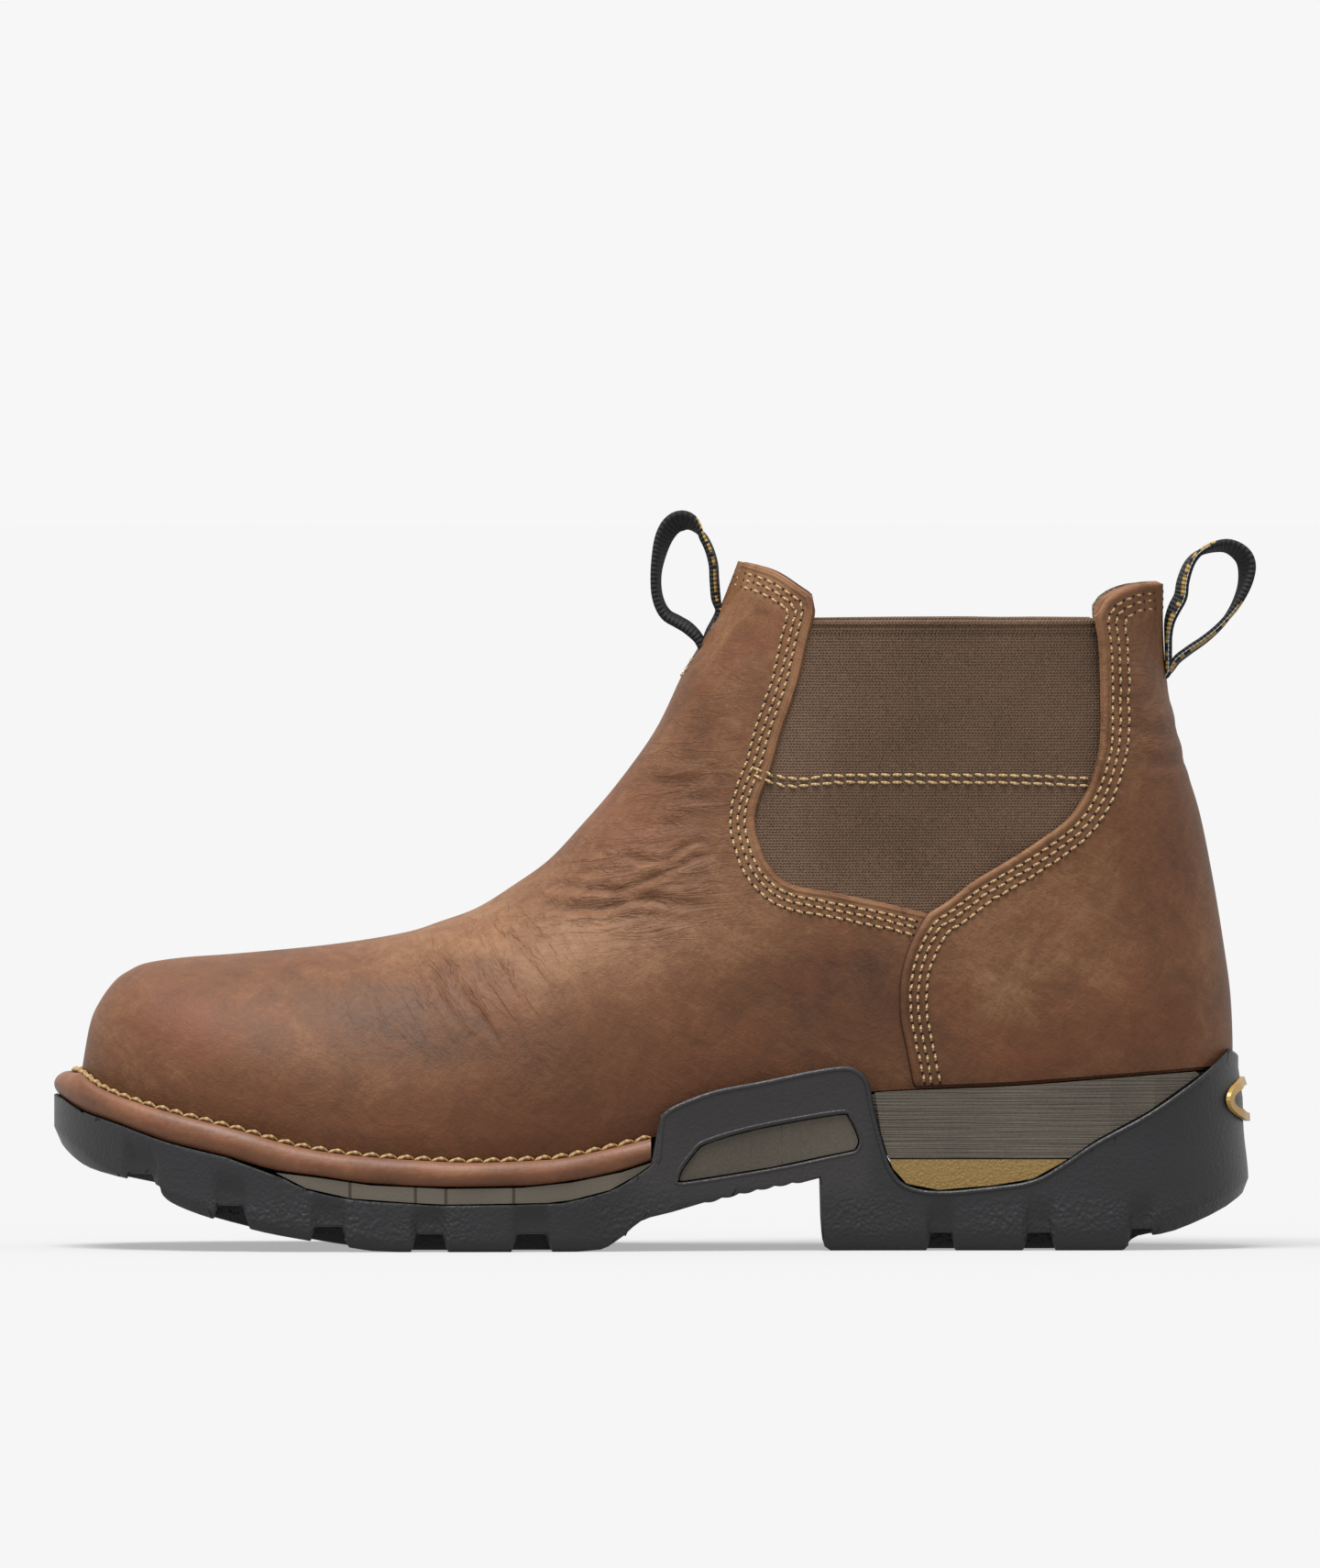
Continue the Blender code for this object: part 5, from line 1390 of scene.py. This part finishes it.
# centre lines in mm in the side view, from the foot of one strand over the top to the foot of the other
frontLoop = [(-72.6, 151.8), (-73.9, 154.2), (-75.1, 156.8), (-77.7, 159.4), (-80.5, 161.1), (-83.1, 162.6),
             (-84.8, 165.1), (-85.8, 168.8), (-85.9, 173.4), (-85.2, 178.0), (-84.0, 182.3), (-82.2, 185.4),
             (-79.9, 186.9), (-77.1, 186.6), (-74.8, 184.3), (-72.5, 180.3), (-71.2, 176.0), (-70.9, 171.7),
             (-70.5, 167.1), (-69.8, 163.7), (-70.5, 160.8), (-72.0, 158.0), (-73.0, 155.1), (-72.2, 152.2)]
rearLoop = [(44.0, 146.4), (45.9, 148.0), (46.0, 153.0), (46.0, 157.8), (46.4, 161.3), (47.6, 164.4),
            (49.2, 167.6), (49.8, 171.4), (51.4, 175.8), (53.9, 178.6), (57.7, 180.2), (61.5, 180.4),
            (64.9, 178.3), (66.2, 175.2), (65.6, 170.4), (63.4, 165.4), (59.9, 160.6), (55.8, 156.8),
            (51.4, 153.7), (48.2, 151.2), (46.4, 148.6), (44.4, 146.2)]
# twist of the webbing: share of the way round, turn in radians; the outer face shows where it is positive
frontTwist = [(0.0, 0.0), (0.12, -0.14), (0.30, -0.10), (0.52, -0.34), (0.62, 0.05), (0.80, 0.08),
              (0.90, -0.10), (1.0, 0.0)]
rearTwist = [(0.0, 0.0), (0.12, 0.02), (0.24, 0.16), (0.34, 0.10), (0.45, -0.12), (0.55, -0.28),
             (0.66, -0.10), (0.76, 0.03), (0.92, 0.08), (1.0, 0.0)]
# edging of the webbing: share of the way round, and 1 for gold marks and a white line or 0.5 for gold alone
frontTrim = [(0.0, 0.0), (0.52, 0.0), (0.57, 0.5), (0.86, 0.5), (0.90, 0.0), (1.0, 0.0)]
rearTrim = [(0.0, 1.0), (0.42, 1.0), (0.47, 0.0), (0.66, 0.0), (0.70, 1.0), (1.0, 1.0)]


def loopBand(name, rows, twist, trim):
    path = evenRun(spline([(x * 0.001, z * 0.001) for x, z in rows], 8), 0.0008)
    along = np.gradient(path, axis=0)
    along = along / np.linalg.norm(along, axis=1)[:, None]
    count = len(path)
    t = np.linspace(0, 1, count)
    angle = smoothTable(twist)(t)
    half, thick = 0.5 * loopLook["width"], 0.5 * loopLook["thickness"]
    profile = [(-1, 0.35), (-0.96, 0.85), (-0.88, 1.0)] + [(v, 1.0) for v in (-0.6, -0.3, 0, 0.3, 0.6)]
    profile += [(0.88, 1.0), (0.96, 0.85), (1, 0.35), (1, -0.35), (0.96, -0.85), (0.88, -1.0)]
    profile += [(v, -1.0) for v in (0.6, 0.3, 0, -0.3, -0.6)] + [(-0.88, -1.0), (-0.96, -0.85), (-1, -0.35)]
    sections, runs, sides, outward = [], [], [], []
    walked = np.concatenate([[0.0], np.cumsum(np.linalg.norm(np.diff(path, axis=0), axis=1))]) * 1000
    for k in range(count):
        tangent = np.array([along[k][0], 0, along[k][1]])
        normal = np.array([-along[k][1], 0, along[k][0]])
        across = np.array([0, 1.0, 0])
        wide = across * math.cos(angle[k]) + normal * math.sin(angle[k])
        flat = np.cross(wide, tangent)
        centre = np.array([path[k][0], 0, path[k][1]])
        sections.append([centre + wide * half * a + flat * thick * b for a, b in profile])
        runs += [walked[k]] * len(profile)
        sides += [a for a, _ in profile]
        outward += [-b for _, b in profile]
    band = sweepObject(name, sections)
    setAttribute(band, 'along', runs)
    setAttribute(band, 'across', sides)
    setAttribute(band, 'outward', outward)
    setAttribute(band, 'trim', smoothTable(trim)(np.array(runs) / walked[-1]))
    band.data.materials.append(webbing)
    smoothShade(band, 50)
    return band


place(loopBand('frontLoopWebbing', frontLoop, frontTwist, frontTrim), "black_webbing", "front_pull_loop")
place(loopBand('rearLoopWebbing', rearLoop, rearTwist, rearTrim), "black_webbing", "rear_pull_loop")
print("pull loops made")


# floor, light and camera
# scale is metres to a pixel of the photo; the camera stands far away, a little above the level
studio = {"floor": 0.182, "glow": 0.393, "floorSize": 40.0, "world": 0.93, "key": 6.5, "keySpread": 32,
          "keyFrom": (-0.18, -0.25, 1.0), "scale": 0.0002358, "photoWidth": 1440, "away": 12.0, "rise": 0.85,
          "aim": (-0.0849, -0.014, 0.1194)}
bpy.ops.mesh.primitive_plane_add(size=studio["floorSize"], location=(0, 0, 0))
floor = bpy.context.active_object
floor.name = 'studioFloor'
s = Shader('studioFloor', Roughness=0.9, Specular_IOR_Level=0.0)
s.surface.inputs['Base Color'].default_value = (studio["floor"], studio["floor"], studio["floor"], 1.0)
s.surface.inputs['Emission Color'].default_value = (1.0, 1.0, 1.0, 1.0)
s.surface.inputs['Emission Strength'].default_value = studio["glow"]   # keeps the shadows pale
floor.data.materials.append(s.material)

world = bpy.context.scene.world or bpy.data.worlds.new('studio')
bpy.context.scene.world = world
world.use_nodes = True
backdrop = world.node_tree.nodes['Background']
backdrop.inputs['Color'].default_value = (1.0, 1.0, 1.0, 1.0)
backdrop.inputs['Strength'].default_value = studio["world"]


def sun(name, strength, spread, direction):
    lamp = bpy.data.lights.new(name, 'SUN')
    lamp.energy, lamp.angle = strength, math.radians(spread)
    holder = bpy.data.objects.new(name, lamp)
    holder.rotation_euler = Vector(direction).to_track_quat('Z', 'Y').to_euler()
    bpy.context.scene.collection.objects.link(holder)


sun('keySun', studio["key"], studio["keySpread"], studio["keyFrom"])

lens = bpy.data.cameras.new('photoCamera')
lens.sensor_fit, lens.sensor_width = 'HORIZONTAL', 36.0
lens.lens = lens.sensor_width * studio["away"] / (studio["photoWidth"] * studio["scale"])
lens.clip_end = 100.0
camera = bpy.data.objects.new('photoCamera', lens)
bpy.context.scene.collection.objects.link(camera)
rise = math.radians(studio["rise"])
towards = Vector((0, -math.cos(rise), math.sin(rise)))
camera.location = Vector(studio["aim"]) + towards * studio["away"]
camera.rotation_euler = towards.to_track_quat('Z', 'Y').to_euler()
bpy.context.scene.camera = camera
bpy.context.scene.view_settings.view_transform = 'Standard'
